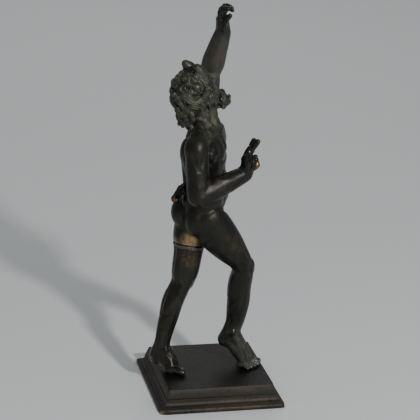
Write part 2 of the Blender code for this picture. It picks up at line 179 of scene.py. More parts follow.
class Finish:
    """A bronze finish built in layers over one base colour."""

    def __init__(self, name, colour):
        self.material = bpy.data.materials.new(name)
        self.material.use_nodes = True
        self.tree = self.material.node_tree
        self.shader = self.tree.nodes["Principled BSDF"]
        self.place = self.node("TexCoord").outputs["Object"]
        self.colour = self.node("RGB").outputs[0]
        self.colour.default_value = (*colour, 1)

    def node(self, kind, settings=None, sockets=None):
        """A node with its settings made first, then what its sockets hold, by name or by place."""
        made = self.tree.nodes.new("ShaderNode" + kind)
        for key, value in (settings or {}).items():
            setattr(made, key, value)
        for key, value in (sockets or {}).items():
            self.feed(made.inputs[key], value)
        return made

    def feed(self, socket, value):
        """Links a socket to a number or another socket, or sets a plain value on it."""
        if isinstance(value, Sum):
            value = value.socket
        if isinstance(value, bpy.types.NodeSocket):
            self.tree.links.new(value, socket)
        else:
            socket.default_value = value

    def noise(self, scale, detail=4, roughness=0.6, stretch=(1, 1, 1)):
        where = self.node("Mapping", sockets={"Vector": self.place, "Scale": stretch}).outputs[0]
        node = self.node("TexNoise", sockets={
            "Vector": where, "Scale": scale, "Detail": detail, "Roughness": roughness,
        })
        return Sum(self, node.outputs["Fac"])

    def stored(self, name):
        """A number stored with the points of the piece."""
        return Sum(self, self.node("Attribute", {"attribute_name": name}).outputs["Fac"])

    def measure(self, operation, vector):
        node = self.node("VectorMath", {"operation": operation}, {0: self.place, 1: tuple(vector)})
        return Sum(self, node.outputs["Value"]) * MM

    def away(self, point):
        """Distance from a point of the object, in millimetres."""
        return self.measure("DISTANCE", point)

    def along(self, way):
        """How far along a direction, in millimetres."""
        return self.measure("DOT_PRODUCT", way)

    def lay(self, colour, mask):
        """Lays a colour over what is there, where the mask is 1."""
        share, under, over, result = 0, 6, 7, 2
        layer = self.node("Mix", {"data_type": "RGBA"}, {
            share: mask, under: self.colour, over: (*colour, 1),
        })
        self.colour = layer.outputs[result]

    def finish(self, metal, rough, height, bump_depth):
        """Joins the layers to the shader. Metal, rough and height are numbers of the material."""
        bump = self.node("Bump", sockets={
            "Height": height, "Distance": bump_depth, "Strength": 1.0,
        })
        for name, value in (
            ("Base Color", self.colour), ("Metallic", metal), ("Roughness", rough),
            ("Normal", bump.outputs["Normal"]),
        ):
            self.feed(self.shader.inputs[name], value)
        return self.material


def turn_outward():
    """Turns every face of the active mesh outward."""
    bpy.ops.object.mode_set(mode="EDIT")
    bpy.ops.mesh.select_all(action="SELECT")
    bpy.ops.mesh.normals_make_consistent(inside=False)
    bpy.ops.object.mode_set(mode="OBJECT")


select_none()
bpy.ops.mesh.primitive_plane_add(size=PLINTH_SIDE, location=(0, 0, 0))
block = bpy.context.object
block.name = "plinth_casting"
bpy.ops.object.mode_set(mode="EDIT")
bpy.ops.mesh.select_all(action="SELECT")
bpy.ops.mesh.subdivide(number_cuts=PLINTH_SPANS)
for (low, reach), (high, narrower) in zip(PLINTH_RISES, PLINTH_RISES[1:]):
    bpy.ops.mesh.extrude_region_move(TRANSFORM_OT_translate={"value": (0, 0, high - low)})
    bpy.ops.transform.resize(
        value=(narrower / reach, narrower / reach, 1), center_override=(0, 0, 0)
    )
bpy.ops.mesh.select_all(action="DESELECT")
bpy.ops.object.mode_set(mode="OBJECT")
for corner, dent in (
    ((-0.049, -0.049, 0.002), 0.0012), ((-0.0409, -0.0409, 0.0165), 0.0008),
    ((0.049, -0.049, 0.001), 0.0006), ((0.0409, -0.0409, 0.0165), 0.0004),
):
    for point in block.data.vertices:
        point.select = (point.co - Vector(corner)).length < KNOCK_WIDTH
    bpy.ops.object.mode_set(mode="EDIT")
    bpy.ops.transform.translate(
        value=-dent * Vector(corner[:2] + (0,)).normalized(), use_proportional_edit=True,
        proportional_edit_falloff="SMOOTH", proportional_size=KNOCK_SPREAD,
    )
    bpy.ops.object.mode_set(mode="OBJECT")
turn_outward()
ease = block.modifiers.new("ease", "BEVEL")
ease.limit_method = "ANGLE"
ease.angle_limit = math.radians(32)
ease.width = EDGE_EASE
ease.segments = 3
bpy.ops.object.modifier_apply(modifier="ease")
bpy.ops.object.shade_smooth_by_angle(angle=math.radians(30))
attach(block, "root")
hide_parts("plinth")

umber = Finish("plinth_bronze", (0.0150, 0.0132, 0.0102))
drift = umber.noise(30, 4, 0.6, (0.35, 1, 1))
streak = umber.noise(70, 5, 0.65, (0.25, 1, 1.6))
grain = umber.noise(520, 4, 0.6)
dust = umber.noise(1600, 3, 0.55)
rise = umber.along((0, 0, 1))
flat_top = rise.ramp(16.0, 16.35)
moulding = 1 - flat_top
umber.lay((0.052, 0.042, 0.030), moulding * 0.35)
umber.lay((0.056, 0.040, 0.025), streak.ramp(0.50, 0.68) * moulding * 0.7)
umber.lay((0.026, 0.021, 0.015), drift.ramp(0.50, 0.68) * flat_top * 0.6)
umber.lay((0.0055, 0.0052, 0.0046), grain.ramp(0.54, 0.66) * 0.65)
# Painted shade: the top is darker in a ragged ring round each foot, where the figure shades it
FOOT_SHADE_REACH = 26
for sole in ((-0.031, -0.009, 0.0165), (0.030, -0.005, 0.0165)):
    foot_shade = umber.away(sole) + (umber.noise(110, 4) - 0.5) * FOOT_SHADE_REACH
    foot_shade = foot_shade.ramp(FOOT_SHADE_REACH, FOOT_SHADE_REACH / 2) * flat_top * grain.ramp(0.36, 0.56)
    umber.lay((0.0060, 0.0056, 0.0050), foot_shade * 0.9)
# Dust lies pale in the quirks of the moulding and yellow metal shows along its arrises
quirk = rise.ramp(3.5, 3.9) * rise.ramp(4.5, 4.2)
quirk = quirk.most(rise.ramp(9.3, 9.5) * rise.ramp(10.0, 9.8))
umber.lay((0.062, 0.056, 0.042), quirk * drift.ramp(0.40, 0.60) * 0.55)
edge_out = umber.along((1, 0, 0)).size().most(umber.along((0, 1, 0)).size())
rim = edge_out.ramp(40.3, 40.7) * rise.ramp(15.9, 16.3)
lip = edge_out.ramp(48.4, 48.9) * rise.ramp(2.6, 2.0)
lip = lip + edge_out.ramp(42.3, 42.8) * rise.ramp(9.7, 9.95) * rise.ramp(10.5, 10.1)
worn = (rim + lip) * grain.ramp(0.42, 0.58)
umber.lay((0.155, 0.100, 0.048), worn * drift.ramp(0.35, 0.55) * 0.55)
knock = umber.away((-0.049, -0.049, 0.001)).ramp(5.5, 1.5) * rise.ramp(4.2, 1.0)
umber.lay((0.30, 0.19, 0.075), knock * grain.ramp(0.40, 0.54))
block.data.materials.append(umber.finish(
    0.5 + worn * 0.3,
    0.42 + drift * 0.12 + grain * 0.16 + quirk * 0.2,
    grain * 0.5 + dust * 0.4 + umber.noise(90, 3) * 2.0,
    BUMP_DEPTH,
))


# Figure
# One hollow casting in dark bronze. Its masses are laid up in wax as full forms and fused into one
# skin, and the muscles, hands and feet are then worked into that skin.

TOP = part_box("plinth")[1][2]
SEAT_GAP = 0.0003
JOINTS = {  # millimetres from the middle of the plinth's top
    "pelvis": (-16.0, -3.5, 127.0),
    "waist": (-11.5, -4.0, 149.0),
    "chest": (-13.5, -4.0, 173.0),
    "neck": (-15.0, -2.0, 197.0),
    "skull": (-20.5, 0.0, 223.0),
    "hip_r": (-9.5, -13.0, 124.0),
    "knee_r": (20.0, -9.0, 83.5),
    "ankle_r": (15.8, -1.0, 29.0),
    "heel_r": (10.5, 3.0, 20.5),
    "ball_r": (25.5, -4.0, 3.8),
    "hip_l": (-17.5, 7.0, 122.0),
    "knee_l": (-24.5, 2.5, 70.0),
    "ankle_l": (-39.0, -3.8, 19.0),
    "heel_l": (-44.5, -0.5, 10.5),
    "ball_l": (-34.0, -8.5, 3.8),
    "shoulder_r": (-25.0, -26.0, 191.0),
    "elbow_r": (-24.0, -34.0, 150.0),
    "wrist_r": (13.5, -26.0, 165.5),
    "shoulder_l": (-9.5, 18.0, 196.0),
    "elbow_l": (-4.0, 28.0, 230.0),
    "wrist_l": (2.0, 18.0, 262.2),
}
HIPS_FACING = 25
CHEST_FACING = -25
WAIST_FACING = (HIPS_FACING + CHEST_FACING) / 2
PALMS_FACING = -30
TOES_FACING = -22
UP = np.array((0.0, 0.0, 1.0))
SOFT_GRAIN, SOFT_ROUNDS = ((0.6, 40))
MUSCLE_ROUNDS = 3
BODY_GRAIN, BODY_ROUNDS = ((0.36, 6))
BODY_TRIANGLES = 195000


def joint(name):
    return np.array(JOINTS[name])


def heading(angle):
    """Level direction at this angle in degrees from +X."""
    return np.array((math.cos(math.radians(angle)), math.sin(math.radians(angle)), 0.0))


def unit(vector):
    return np.asarray(vector, float) / np.linalg.norm(vector)


def square_to(way, axis):
    """The part of a direction that is square to an axis."""
    return unit(way - axis * np.dot(way, axis))


def between(a, b, share):
    return a + (b - a) * share


def through(values, places):
    """Smooth curve through the values, read at places from 0 to len(values) - 1."""
    values = np.asarray(values, float).reshape(len(values), -1)
    held = np.vstack([2 * values[0] - values[1], values, 2 * values[-1] - values[-2]])
    i = np.clip(places.astype(int), 0, len(values) - 2)
    t = (places - i)[:, None]
    a, b, c, d = held[i], held[i + 1], held[i + 2], held[i + 3]
    curve = 2 * b + (c - a) * t + (2 * a - 5 * b + 4 * c - d) * t**2
    return 0.5 * (curve + (3 * b - a - 3 * c + d) * t**3)


class Wax:
    """Closed masses that overlap until they are fused into one skin."""

    def __init__(self):
        self.points = []
        self.faces = []
        self.count = 0

    def add(self, points, faces):
        self.points.append(np.asarray(points, float))
        self.faces += [tuple(i + self.count for i in face) for face in faces]
        self.count += len(points)

    def lump(self, centre, radii, forward=(1, 0, 0), up=(0, 0, 1)):
        """An egg with its radii along forward, across and up."""
        x = unit(forward)
        y = unit(np.cross(up, x))
        turn = np.array((x, y, np.cross(x, y)))
        rows, sides = 12, 20
        angles = np.linspace(0.12, math.pi - 0.12, rows)
        spin = 2 * math.pi * np.arange(sides) / sides
        ball = np.stack([
            np.sin(angles)[:, None] * np.cos(spin),
            np.sin(angles)[:, None] * np.sin(spin),
            np.cos(angles)[:, None] * np.ones(sides),
        ], axis=-1).reshape(-1, 3)
        self.tube(centre + (ball * radii) @ turn, rows, sides)

    def tube(self, points, rows, sides):
        faces = []
        for low in range(0, (rows - 1) * sides, sides):
            for k in range(sides):
                n = (k + 1) % sides
                faces.append((low + k, low + n, low + sides + n, low + sides + k))
        faces.append(tuple(range(sides - 1, -1, -1)))
        faces.append(tuple(range((rows - 1) * sides, rows * sides)))
        self.add(points, faces)

    def limb(self, path, deep, wide=None, facing=(1, 0, 0), steps=8, sides=20, strands=0, cut=0.0):
        """A loft of oval rings along a smooth path, rounded at both ends.

        deep is the half thickness along facing and wide the half thickness across it. Strands are
        grooves along it, cut that share of the thickness deep.
        """
        wide = deep if wide is None else wide
        facings = np.asarray(facing, float) * np.ones((len(path), 1))
        places = np.linspace(0, len(path) - 1, (len(path) - 1) * steps + 1)
        centres = through(path, places)
        ways = np.gradient(centres, axis=0)
        ways /= np.linalg.norm(ways, axis=1)[:, None]
        deeps = np.maximum(through(deep, places)[:, 0], 0.1)
        wides = np.maximum(through(wide, places)[:, 0], 0.1)
        fronts = through(facings, places)
        rings = []
        for sign, station in ((-1, 0), (1, len(places) - 1)):
            for angle in (1.45, 1.15, 0.8, 0.4):
                deep_end, wide_end, way = deeps[station], wides[station], ways[station]
                reach = 0.85 * sign * min(deep_end, wide_end) * math.sin(angle)
                rings.append((
                    centres[station] + way * reach, way, fronts[station],
                    deep_end * math.cos(angle), wide_end * math.cos(angle),
                ))
        middle = list(zip(centres, ways, fronts, deeps, wides))
        rings = rings[:4] + middle + rings[4:][::-1]
        turn = 2 * math.pi * np.arange(sides) / sides
        swell = 1 - cut * (0.5 - 0.5 * np.cos(strands * turn))
        points = []
        for centre, way, front, d, w in rings:
            front = square_to(front, way)
            across = np.outer(swell * np.sin(turn) * w, np.cross(way, front))
            points.append(centre + np.outer(swell * np.cos(turn) * d, front) + across)
        self.tube(np.vstack(points), len(rings), sides)

    def fuse(self, name, voxel, rounds):
        """Fuses the masses into one closed skin and softens it."""
        mesh = bpy.data.meshes.new(name)
        mesh.from_pydata(np.vstack(self.points).tolist(), [], self.faces)
        skin = bpy.data.objects.new(name, mesh)
        bpy.context.scene.collection.objects.link(skin)
        select_none()
        skin.select_set(True)
        bpy.context.view_layer.objects.active = skin
        turn_outward()
        remesh = skin.modifiers.new("skin", "REMESH")
        remesh.mode = "VOXEL"
        remesh.voxel_size = voxel
        bpy.ops.object.modifier_apply(modifier="skin")
        soften(skin, rounds)
        return skin


def soften(skin, rounds):
    smooth = skin.modifiers.new("soften", "SMOOTH")
    smooth.factor = 0.5
    smooth.iterations = rounds
    bpy.ops.object.modifier_apply(modifier="soften")


def read_rows(items, key, width=3, kind=float):
    """Values stored with the items of a mesh, a row for each."""
    values = np.empty(len(items) * width, dtype=kind)
    items.foreach_get(key, values)
    return values.reshape(-1, width)


def read_mesh(skin):
    """Points and faces of a skin."""
    faces = [tuple(face.vertices) for face in skin.data.polygons]
    return read_rows(skin.data.vertices, "co"), faces


class Skin:
    """A fused skin that tools are drawn across."""

    def __init__(self, skin):
        self.skin = skin
        self.points, faces = read_mesh(skin)
        self.refresh()
        self.tree = BVHTree.FromPolygons(self.points.tolist(), faces)

    def refresh(self):
        self.skin.data.vertices.foreach_set("co", self.points.ravel())
        self.skin.data.update()
        self.normals = read_rows(self.skin.data.vertex_normals, "vector")

    def touch(self, inside, way):
        """Where a line from inside the figure leaves its skin."""
        hit = self.tree.ray_cast(Vector(inside), Vector(way))[0]
        return np.array(hit) if hit else np.asarray(inside, float)

    def draw(self, path, radius, height, way=None):
        """Draws a tool along a path: a height over 0 raises the skin and one below 0 cuts it."""
        path = np.asarray(path, float)
        if len(path) > 1:
            count = int(np.linalg.norm(np.diff(path, axis=0), axis=1).sum() / (radius * 0.3)) + 3
            places = np.linspace(0, len(path) - 1, count)
            samples = through(path, places)
            press = np.sin(np.linspace(0.12, 0.88, count) * math.pi) ** 0.6
        else:
            samples, press = path, np.ones(1)
        low, high = samples.min(0) - radius, samples.max(0) + radius
        near = np.where(((self.points > low) & (self.points < high)).all(1))[0]
        best = np.zeros(len(near))
        for sample, weight in zip(samples, press):
            gap = np.linalg.norm(self.points[near] - sample, axis=1) / radius
            best = np.maximum(best, weight * np.clip(1 - gap**2, 0, 1) ** 2)
        ways = self.normals[near] if way is None else np.asarray(way, float)
        self.points[near] += ways * (best * height)[:, None]

    def close(self, rounds=0):
        self.refresh()
        if rounds:
            soften(self.skin, rounds)
        return self.skin


def wax_over(soft):
    """A new wax that holds a finished skin, ready for more masses."""
    wax = Wax()
    wax.add(*read_mesh(soft))
    bpy.data.objects.remove(soft)
    return wax


def lay_torso(wax):
    """Trunk, turned from the hips' facing to the chest's, and the neck."""
    pelvis, waist, chest, neck = (joint(n) for n in ("pelvis", "waist", "chest", "neck"))
    hips, front = heading(HIPS_FACING), heading(CHEST_FACING)
    middle = heading(WAIST_FACING)
    left = heading(CHEST_FACING + 90)
    wax.limb(
        [pelvis - UP * 9, pelvis, between(pelvis, waist, 0.55), waist, between(waist, chest, 0.5)],
        [10, 14, 15, 15.5, 15.5], [13, 19, 18.5, 17.5, 18],
        [hips, hips, between(hips, middle, 0.6), middle, between(middle, front, 0.6)],
    )
    wax.limb(
        [between(waist, chest, 0.5), chest, chest + UP * 10, chest + UP * 19],
        [15.5, 17, 15.5, 10], [18, 20.5, 20, 12], front,
    )
    for side, lift in ((1, 5), (-1, 0)):
        out = left * side
        wax.lump(chest + front * 8.4 + out * 9.5 + UP * (6 + lift), (5.4, 11, 8.6 + lift), front)
        wax.lump(chest - front * 11 + out * 11 + UP * (5 + lift), (5, 8, 11), front)
        wax.limb(
            [chest + out * 17 + UP * (9 + lift), chest + out * 18 - front * 3, waist + out * 14],
            [9, 9.5, 8], [4.5, 5, 3], front,
        )
        wax.limb(
            [pelvis - hips * 10 + out * 4 + UP * 12, waist - middle * 11 + out * 4.5,
             chest - front * 12.5 + out * 4.5],
            [4, 4.5, 4], None, front,
        )
        flank = between(pelvis, waist, 0.6)
        wax.lump(flank + heading(HIPS_FACING + 75) * (14 * side), (9.5, 5, 8), hips)
    wax.limb(
        [pelvis + hips * 10 - UP * 4, waist + middle * 12 - UP * 6, waist + middle * 12 + UP * 9],
        [5, 6, 4.5], [9, 9, 9.5], middle,
    )
    nape = between(neck, joint("skull"), 0.6)
    wax.limb([chest + UP * 12, neck - UP * 2, nape], [12, 9.2, 8.6], [13, 9, 8], front)
    for name in ("shoulder_r", "shoulder_l"):
        shoulder = joint(name)
        wax.limb(
            [between(neck, nape, 0.4), between(neck, shoulder, 0.45) - UP, shoulder - UP * 2.5],
            [5, 6.4, 7.4], None, front,
        )
    for high, low, girths in (
        (joint("shoulder_l"), chest + front * 7.5 + left * 8 + UP * 11, [7.4, 5.4]),
        (neck + UP * 15 + front * 3 + left * 3, chest + front * 7 + left * 5 + UP * 17, [5, 6]),
    ):
        wax.limb([high, low], girths, None, front)
    wax.limb([neck - front * 3, chest - front * 11 + UP * 8], [7, 5], [9, 5], front)


def leg_axes(side):
    """Joints of a leg, with the directions of its front and its outer side."""
    hip, knee, ankle = (joint(n + side) for n in ("hip_", "knee_", "ankle_"))
    shin = unit(ankle - knee)
    front = square_to(heading(HIPS_FACING - 10 if side == "l" else -8), shin)
    outer = np.cross(shin, front) * (1 if side == "l" else -1)
    return hip, knee, ankle, front, outer


def lay_leg(wax, side):
    """One leg from the hip to the ankle, with its main muscles."""
    hip, knee, ankle, front, outer = leg_axes(side)
    thigh, shin = unit(knee - hip), unit(ankle - knee)
    lap = square_to(front, thigh)
    if side == "l":
        bulk, above, calf_back = 0.9, (0.9, 10.9), 4.2
        shin_ahead, shin_deep = (-3.3, -3.0, -2.4, -1.2), (8.2, 8.2, 7.8, 6.7, 5.8)
    else:
        bulk, above, calf_back = 1.0, (2.0, 9.4), 3.4
        shin_ahead, shin_deep = (-0.6, 0.8, 1.2, 0.4), (8.4, 9.2, 8.8, 7.2, 6.4)
    wax.limb(
        [hip - thigh * 4, between(hip, knee, 0.25), between(hip, knee, 0.55) + lap,
         between(hip, knee, 0.82) + lap * above[0], knee + lap * (0.3 * above[0])],
        [15 * bulk, 15 * bulk, 12.8 * bulk, above[1], 8.8],
        [12.5 * bulk, 13 * bulk, 11.5 * bulk, 9.2, 8.4], lap,
    )
    wax.lump(
        between(hip, knee, 0.5) + lap * 5.5 * bulk + outer * 2, (7.5 * bulk, 7, 19), lap, -thigh
    )
    wax.lump(between(hip, knee, 0.72) + lap * 3.5 - outer * 4, (6, 4.6, 10), lap, -thigh)
    wax.lump(between(hip, knee, 0.5) - lap * 5.0 * bulk, (6.5 * bulk, 8, 15), lap, -thigh)
    wax.lump(knee + front * 3.4, (5.8, 5.4, 6.5), front, -shin)
    wax.limb(
        [knee - shin * 2] + [
            between(knee, ankle, share) + front * ahead
            for share, ahead in zip((0.28, 0.55, 0.82, 1.0), shin_ahead)
        ],
        shin_deep,
        [8.0, 8.2, 7.2, 5.6, 5.4],
        front,
    )
    calf = between(knee, ankle, 0.3) - front * calf_back
    wax.lump(calf + outer * 2.4, (5.0, 4.6, 11.5), front, -shin)
    wax.lump(calf - outer * 2.4 + shin * 2, (5.0, 4.6, 12.5), front, -shin)


def lay_seat(wax):
    """Both gluteal masses, the trailing leg's rounder and the leading leg's stretched."""
    pelvis = joint("pelvis")
    front, left = heading(HIPS_FACING), heading(HIPS_FACING + 90)
    wax.lump(pelvis - front * 6.5 + left * 8.5 + UP, (11, 9.5, 13), front)
    wax.lump(pelvis - front * 5.5 - left * 8.5 - UP * 2, (11, 9.5, 13), front)
    wax.lump(pelvis + front * 2 - left * 9.5 - UP * 4, (13, 9.5, 12), front)
    wax.lump(pelvis + front * 13 - UP * 12, (3.6, 3.2, 4.8), front)


def lay_arm(wax, side):
    """One arm from the shoulder to the wrist."""
    shoulder, elbow, wrist = (joint(n + side) for n in ("shoulder_", "elbow_", "wrist_"))
    upper = unit(elbow - shoulder)
    front = heading(CHEST_FACING)
    wax.lump(shoulder + upper * 6, (9.5, 9, 11.5), front, -upper)
    wax.limb(
        [shoulder + upper * 4, between(shoulder, elbow, 0.45), between(shoulder, elbow, 0.8),
         elbow],
        [8.6, 8.5, 8.2, 7.8], [8.0, 7.8, 7.2, 7.0], front,
    )
    wax.limb(
        [elbow, between(elbow, wrist, 0.25), between(elbow, wrist, 0.6), wrist],
        [8.0, 8.8, 7.9, 6.2], [7.2, 7.8, 6.8, 5.8], UP if side == "r" else front,
    )


def foot_axes(side):
    """Ball of a foot and the ways its toes and its inner side point."""
    inner = heading(TOES_FACING + (-90 if side == "l" else 90))
    return joint("ball_" + side), heading(TOES_FACING), inner


def lay_foot(wax, side):
    """A foot up to the roots of its toes. It stands on its ball, with the heel raised."""
    hip, knee, ankle, front, outer = leg_axes(side)
    ball, toes, inner = foot_axes(side)
    heel = joint("heel_" + side)
    shin = unit(ankle - knee)
    rise = 3.4 if side == "r" else 3.0
    tendon_back = 3.6 if side == "r" else 5.8
    sole = between(ankle, heel, 0.5)
    wax.limb([ankle, heel + toes * 2], [6.2, 5.4], [5.2, 5.0], toes)
    wax.lump(heel + toes - UP * 1.2, (5.4, 5.2, 5.0), toes)
    wax.limb(
        [between(knee, ankle, 0.72) - front * tendon_back,
         between(knee, ankle, 0.9) - front * (tendon_back + 0.9),
         heel - toes * 1.8],
        [2.2, 2.0, 3.4], [2.6, 2.3, 3.6], front,
    )
    wax.lump(ankle - outer * 4.4 - shin, (2.9, 2.4, 3.6), front, -shin)
    wax.lump(ankle + outer * 4.4 + shin * 1.6, (2.7, 2.2, 3.4), front, -shin)
    wax.limb(
        [ankle + toes, between(ankle, ball, 0.55) + toes * rise - UP * 0.5,
         ball + toes * 2.8 + UP * 1.2],
        [5.0, 4.8, 3.6], [5.4, 6.2, 7.0], toes + UP,
    )
    wax.limb(
        [sole + toes * 3, between(sole, ball, 0.5) + toes * (0.5 * rise),
         ball + toes * (0.25 * rise) + UP * 0.6],
        [6.4, 6.4, 4.0], [5.0, 5.6, 6.8], toes + UP,
    )
    wax.limb(
        [heel + toes * 3 - inner * 0.6,
         between(heel, ball, 0.5) - inner * 2.8 + toes * (0.45 * rise) + UP * 2.8,
         ball - inner * 4.8 + toes * 1.5 + UP * 0.4],
        [4.8, 4.8, 3.6], [4.6, 4.0, 3.6], UP,
    )
    wax.lump(ball + inner * 4.6 + toes, (5.0, 3.6, 3.9), toes)


def lay_toes(wax, side):
    """Five toes, pressed flat on the plinth. Gives each one's path, radius and direction."""
    ball, toes, inner = foot_axes(side)
    wax.limb(
        [ball + inner * 4.8 + toes * 1.5, ball + toes * 1.5 + UP * 0.8,
         ball - inner * 5.8 - toes * 1.5],
        [3.7, 3.8, 2.8], [4.6, 4.8, 3.8], UP,
    )
    laid = []
    sizes = zip((3.2, 2.2, 2.1, 2.0, 1.9), (14, 13.6, 12.4, 10.8, 9.0))
    for k, (radius, length) in enumerate(sizes):
        root = ball + inner * (4.7 - 2.9 * k) + UP * (radius - ball[2] + 0.2) - toes * (0.5 * k)
        way = unit(toes + inner * (0.04 - 0.07 * k))
        path = [
            root - way + UP * 0.8, root + way * (length * 0.38) + UP * 1.3,
            root + way * (length * 0.7) + UP * 0.1, root + way * (length - radius * 0.8) - UP * 0.1,
        ]
        wax.limb(
            path,
            np.array((1.0, 0.86, 0.78, 0.74)) * radius, np.array((1.0, 0.84, 0.88, 0.90)) * radius,
            UP, steps=6, sides=16,
        )
        laid.append((path, radius, way))
    return laid


def lay_finger(wax, root, way, palm, bends, length, radius):
    """Three bones, each turned by its bend in degrees from the one before towards the palm."""
    path, girths = [root], [1.0]
    turned = 0
    bones = zip((0.42, 0.32, 0.26), bends, (0.88, 0.84, 0.86), (0.98, 0.92, 0.74))
    for share, bend, waist, knob in bones:
        turned += math.radians(bend)
        step = (way * math.cos(turned) + palm * math.sin(turned)) * (length * share)
        path += [path[-1] + step * 0.5, path[-1] + step]
        girths += [waist, knob]
    wax.limb(path, np.array(girths) * radius, np.array(girths) * radius, palm, steps=4, sides=16)
    return path, radius, unit(step), way * math.sin(turned) - palm * math.cos(turned)


def hand_axes(side):
    """Wrist of a hand and the ways its fingers, its palm and its thumb side point."""
    way = unit((0.14, 0.05, 1) if side == "r" else (-0.16, -0.06, 1))
    palm = square_to(heading(PALMS_FACING), way)
    return joint("wrist_" + side), way, palm, np.cross(way, palm) * (1 if side == "r" else -1)


def lay_hand(wax, side):
    """A wrist and palm up to the roots of the fingers."""
    wrist, way, palm, thumb_side = hand_axes(side)
    elbow = joint("elbow_" + side)
    under = -UP if side == "r" else palm
    back = 1.1 if side == "r" else 0.0
    wax.limb(
        [between(elbow, wrist, 0.72), between(elbow, wrist, 0.9),
         wrist + way * 1.5, wrist + way * 6, wrist + way * 12 - palm * back],
        [7.2, 6.5, 5.6, 4.6, 3.6 + 0.4 * back], [6.6, 6.1, 5.6, 6.2, 6.8],
        [under, under, palm, palm, palm],
    )
    if side == "r":
        wax.limb(
            [wrist + way * 8 + thumb_side * 1.5 - palm,
             wrist + way * 13 + thumb_side * 2.0 - palm * 1.4,
             wrist + way * 19 + thumb_side * 2.8 - palm * 0.6],
            [3.8, 3.8, 2.6], [5.2, 4.8, 3.8], palm,
        )
    wax.limb(
        [wrist + way * 1.5 + thumb_side * 2.4 + palm * 2,
         wrist + way * 7.5 + thumb_side * 4.2 + palm * 2.2],
        [3.4, 2.9], None, palm,
    )
    wax.limb(
        [wrist + way * 2 - thumb_side * 3 + palm * 1.6, wrist + way * 10 - thumb_side * 4.4 + palm],
        [3.2, 2.9], None, palm,
    )


def lay_fingers(wax, side):
    """Four fingers and a thumb. Gives them, the wrist and the way the back of the hand faces."""
    wrist, way, palm, thumb_side = hand_axes(side)
    if side == "r":
        bends = ((4, 3, 3), (17, 6, 5), (72, 80, 58), (78, 84, 56))
        girths = (2.7, 2.6, 2.3, 2.1)
        thumb_way = unit(way * 0.95 + palm * 0.16 - thumb_side * 0.12)
        thumb_bends, thumb_length = (0, 10, 12), 10.5
    else:
        bends = ((8, 36, 50), (4, 44, 56), (10, 46, 56), (18, 48, 56))
        girths = (2.2, 2.1, 2.0, 1.9)
        thumb_way = unit(way * 0.9 + palm * 0.42 + thumb_side * 0.25)
        thumb_bends, thumb_length = (0, 12, 18), 12.5
    fingers = []
    for k, (length, bend, girth) in enumerate(zip((14.2, 15.4, 14, 11.5), bends, girths)):
        root = wrist + way * (11 - 0.5 * abs(k - 1)) + thumb_side * (4.5 - 3.0 * k)
        if side == "r" and k < 2:
            root = root - palm * 1.4
        spread = unit(way + thumb_side * (0.10 - 0.07 * k))
        fingers.append(lay_finger(wax, root, spread, palm, bend, length, girth))
    root = wrist + way * 4 + thumb_side * 4.0 + palm * 1.6
    curl = square_to(palm - thumb_side * 0.6, thumb_way)
    fingers.append(lay_finger(wax, root, thumb_way, curl, thumb_bends, thumb_length, 2.4))
    return fingers, wrist, -palm


def lay_tail(wax):
    """A short tail that springs from the sacrum and slopes down to a round end."""
    back = -heading(HIPS_FACING)
    near = np.cross(back, UP)
    root = joint("pelvis") + back * 10.5 + UP * 22
    wax.limb(
        [root - back * 3, root + back * 3 + UP * 1.2, root + back * 6.5 - UP * 0.6,
         root + back * 9.5 - UP * 3.2, root + back * 11.4 - UP * 5.4],
        [4.0, 3.8, 3.6, 3.1, 2.8], None, near, sides=30, strands=6, cut=0.3,
    )
    wax.lump(root + back * 11.6 - UP * 6.0, (3.3, 3.3, 3.3))
    for side in (1, -1):
        curl = [
            root + back * 5.0 + near * (3.2 * side)
            + (back * math.cos(turn) + UP * math.sin(turn)) * (2.1 - 0.18 * turn)
            for turn in np.linspace(0, 7.5, 9)
        ]
        wax.limb(curl, [0.9] * 8 + [0.6], None, near, steps=3, sides=10)


wax = Wax()
lay_torso(wax)
lay_seat(wax)
for side in ("r", "l"):
    lay_leg(wax, side)
    lay_foot(wax, side)
    lay_arm(wax, side)
    lay_hand(wax, side)
soft = wax.fuse("soft_body", SOFT_GRAIN, SOFT_ROUNDS)

# The muscles are drawn in the soft skin with the modelling tool. Places on the trunk run from the
# pelvis 0 to the neck 3 and those on a limb from its root 0 to its end 2, each with an angle round
# it in degrees: from the front towards the left on the trunk, towards the outer side on a limb.
skin = Skin(soft)
TRUNK = [joint(n) for n in ("pelvis", "waist", "chest", "neck")]


def on_trunk(place, angle):
    facing = np.interp(place, (0, 1, 2), (HIPS_FACING, WAIST_FACING, CHEST_FACING))
    if place < 0:
        inside = TRUNK[0] + UP * (place * 22)
    else:
        inside = through(TRUNK, np.array([place]))[0]
    return skin.touch(inside, heading(facing + angle))


def on_limb(root, middle, end, front, outer, place, angle):
    inside = between(root, middle, place) if place < 1 else between(middle, end, place - 1)
    axis = unit(middle - root) if place < 1 else unit(end - middle)
    way = front * math.cos(math.radians(angle)) + outer * math.sin(math.radians(angle))
    return skin.touch(inside, square_to(way, axis))


def work(place_on, strokes, wider=1, higher=1):
    """Draws strokes, each a path of places on a part of the figure, with its radius and height.

    Those are made wider and higher by that many times.
    """
    for path, radius, height in strokes:
        skin.draw([place_on(*spot) for spot in path], radius * wider, height * higher)


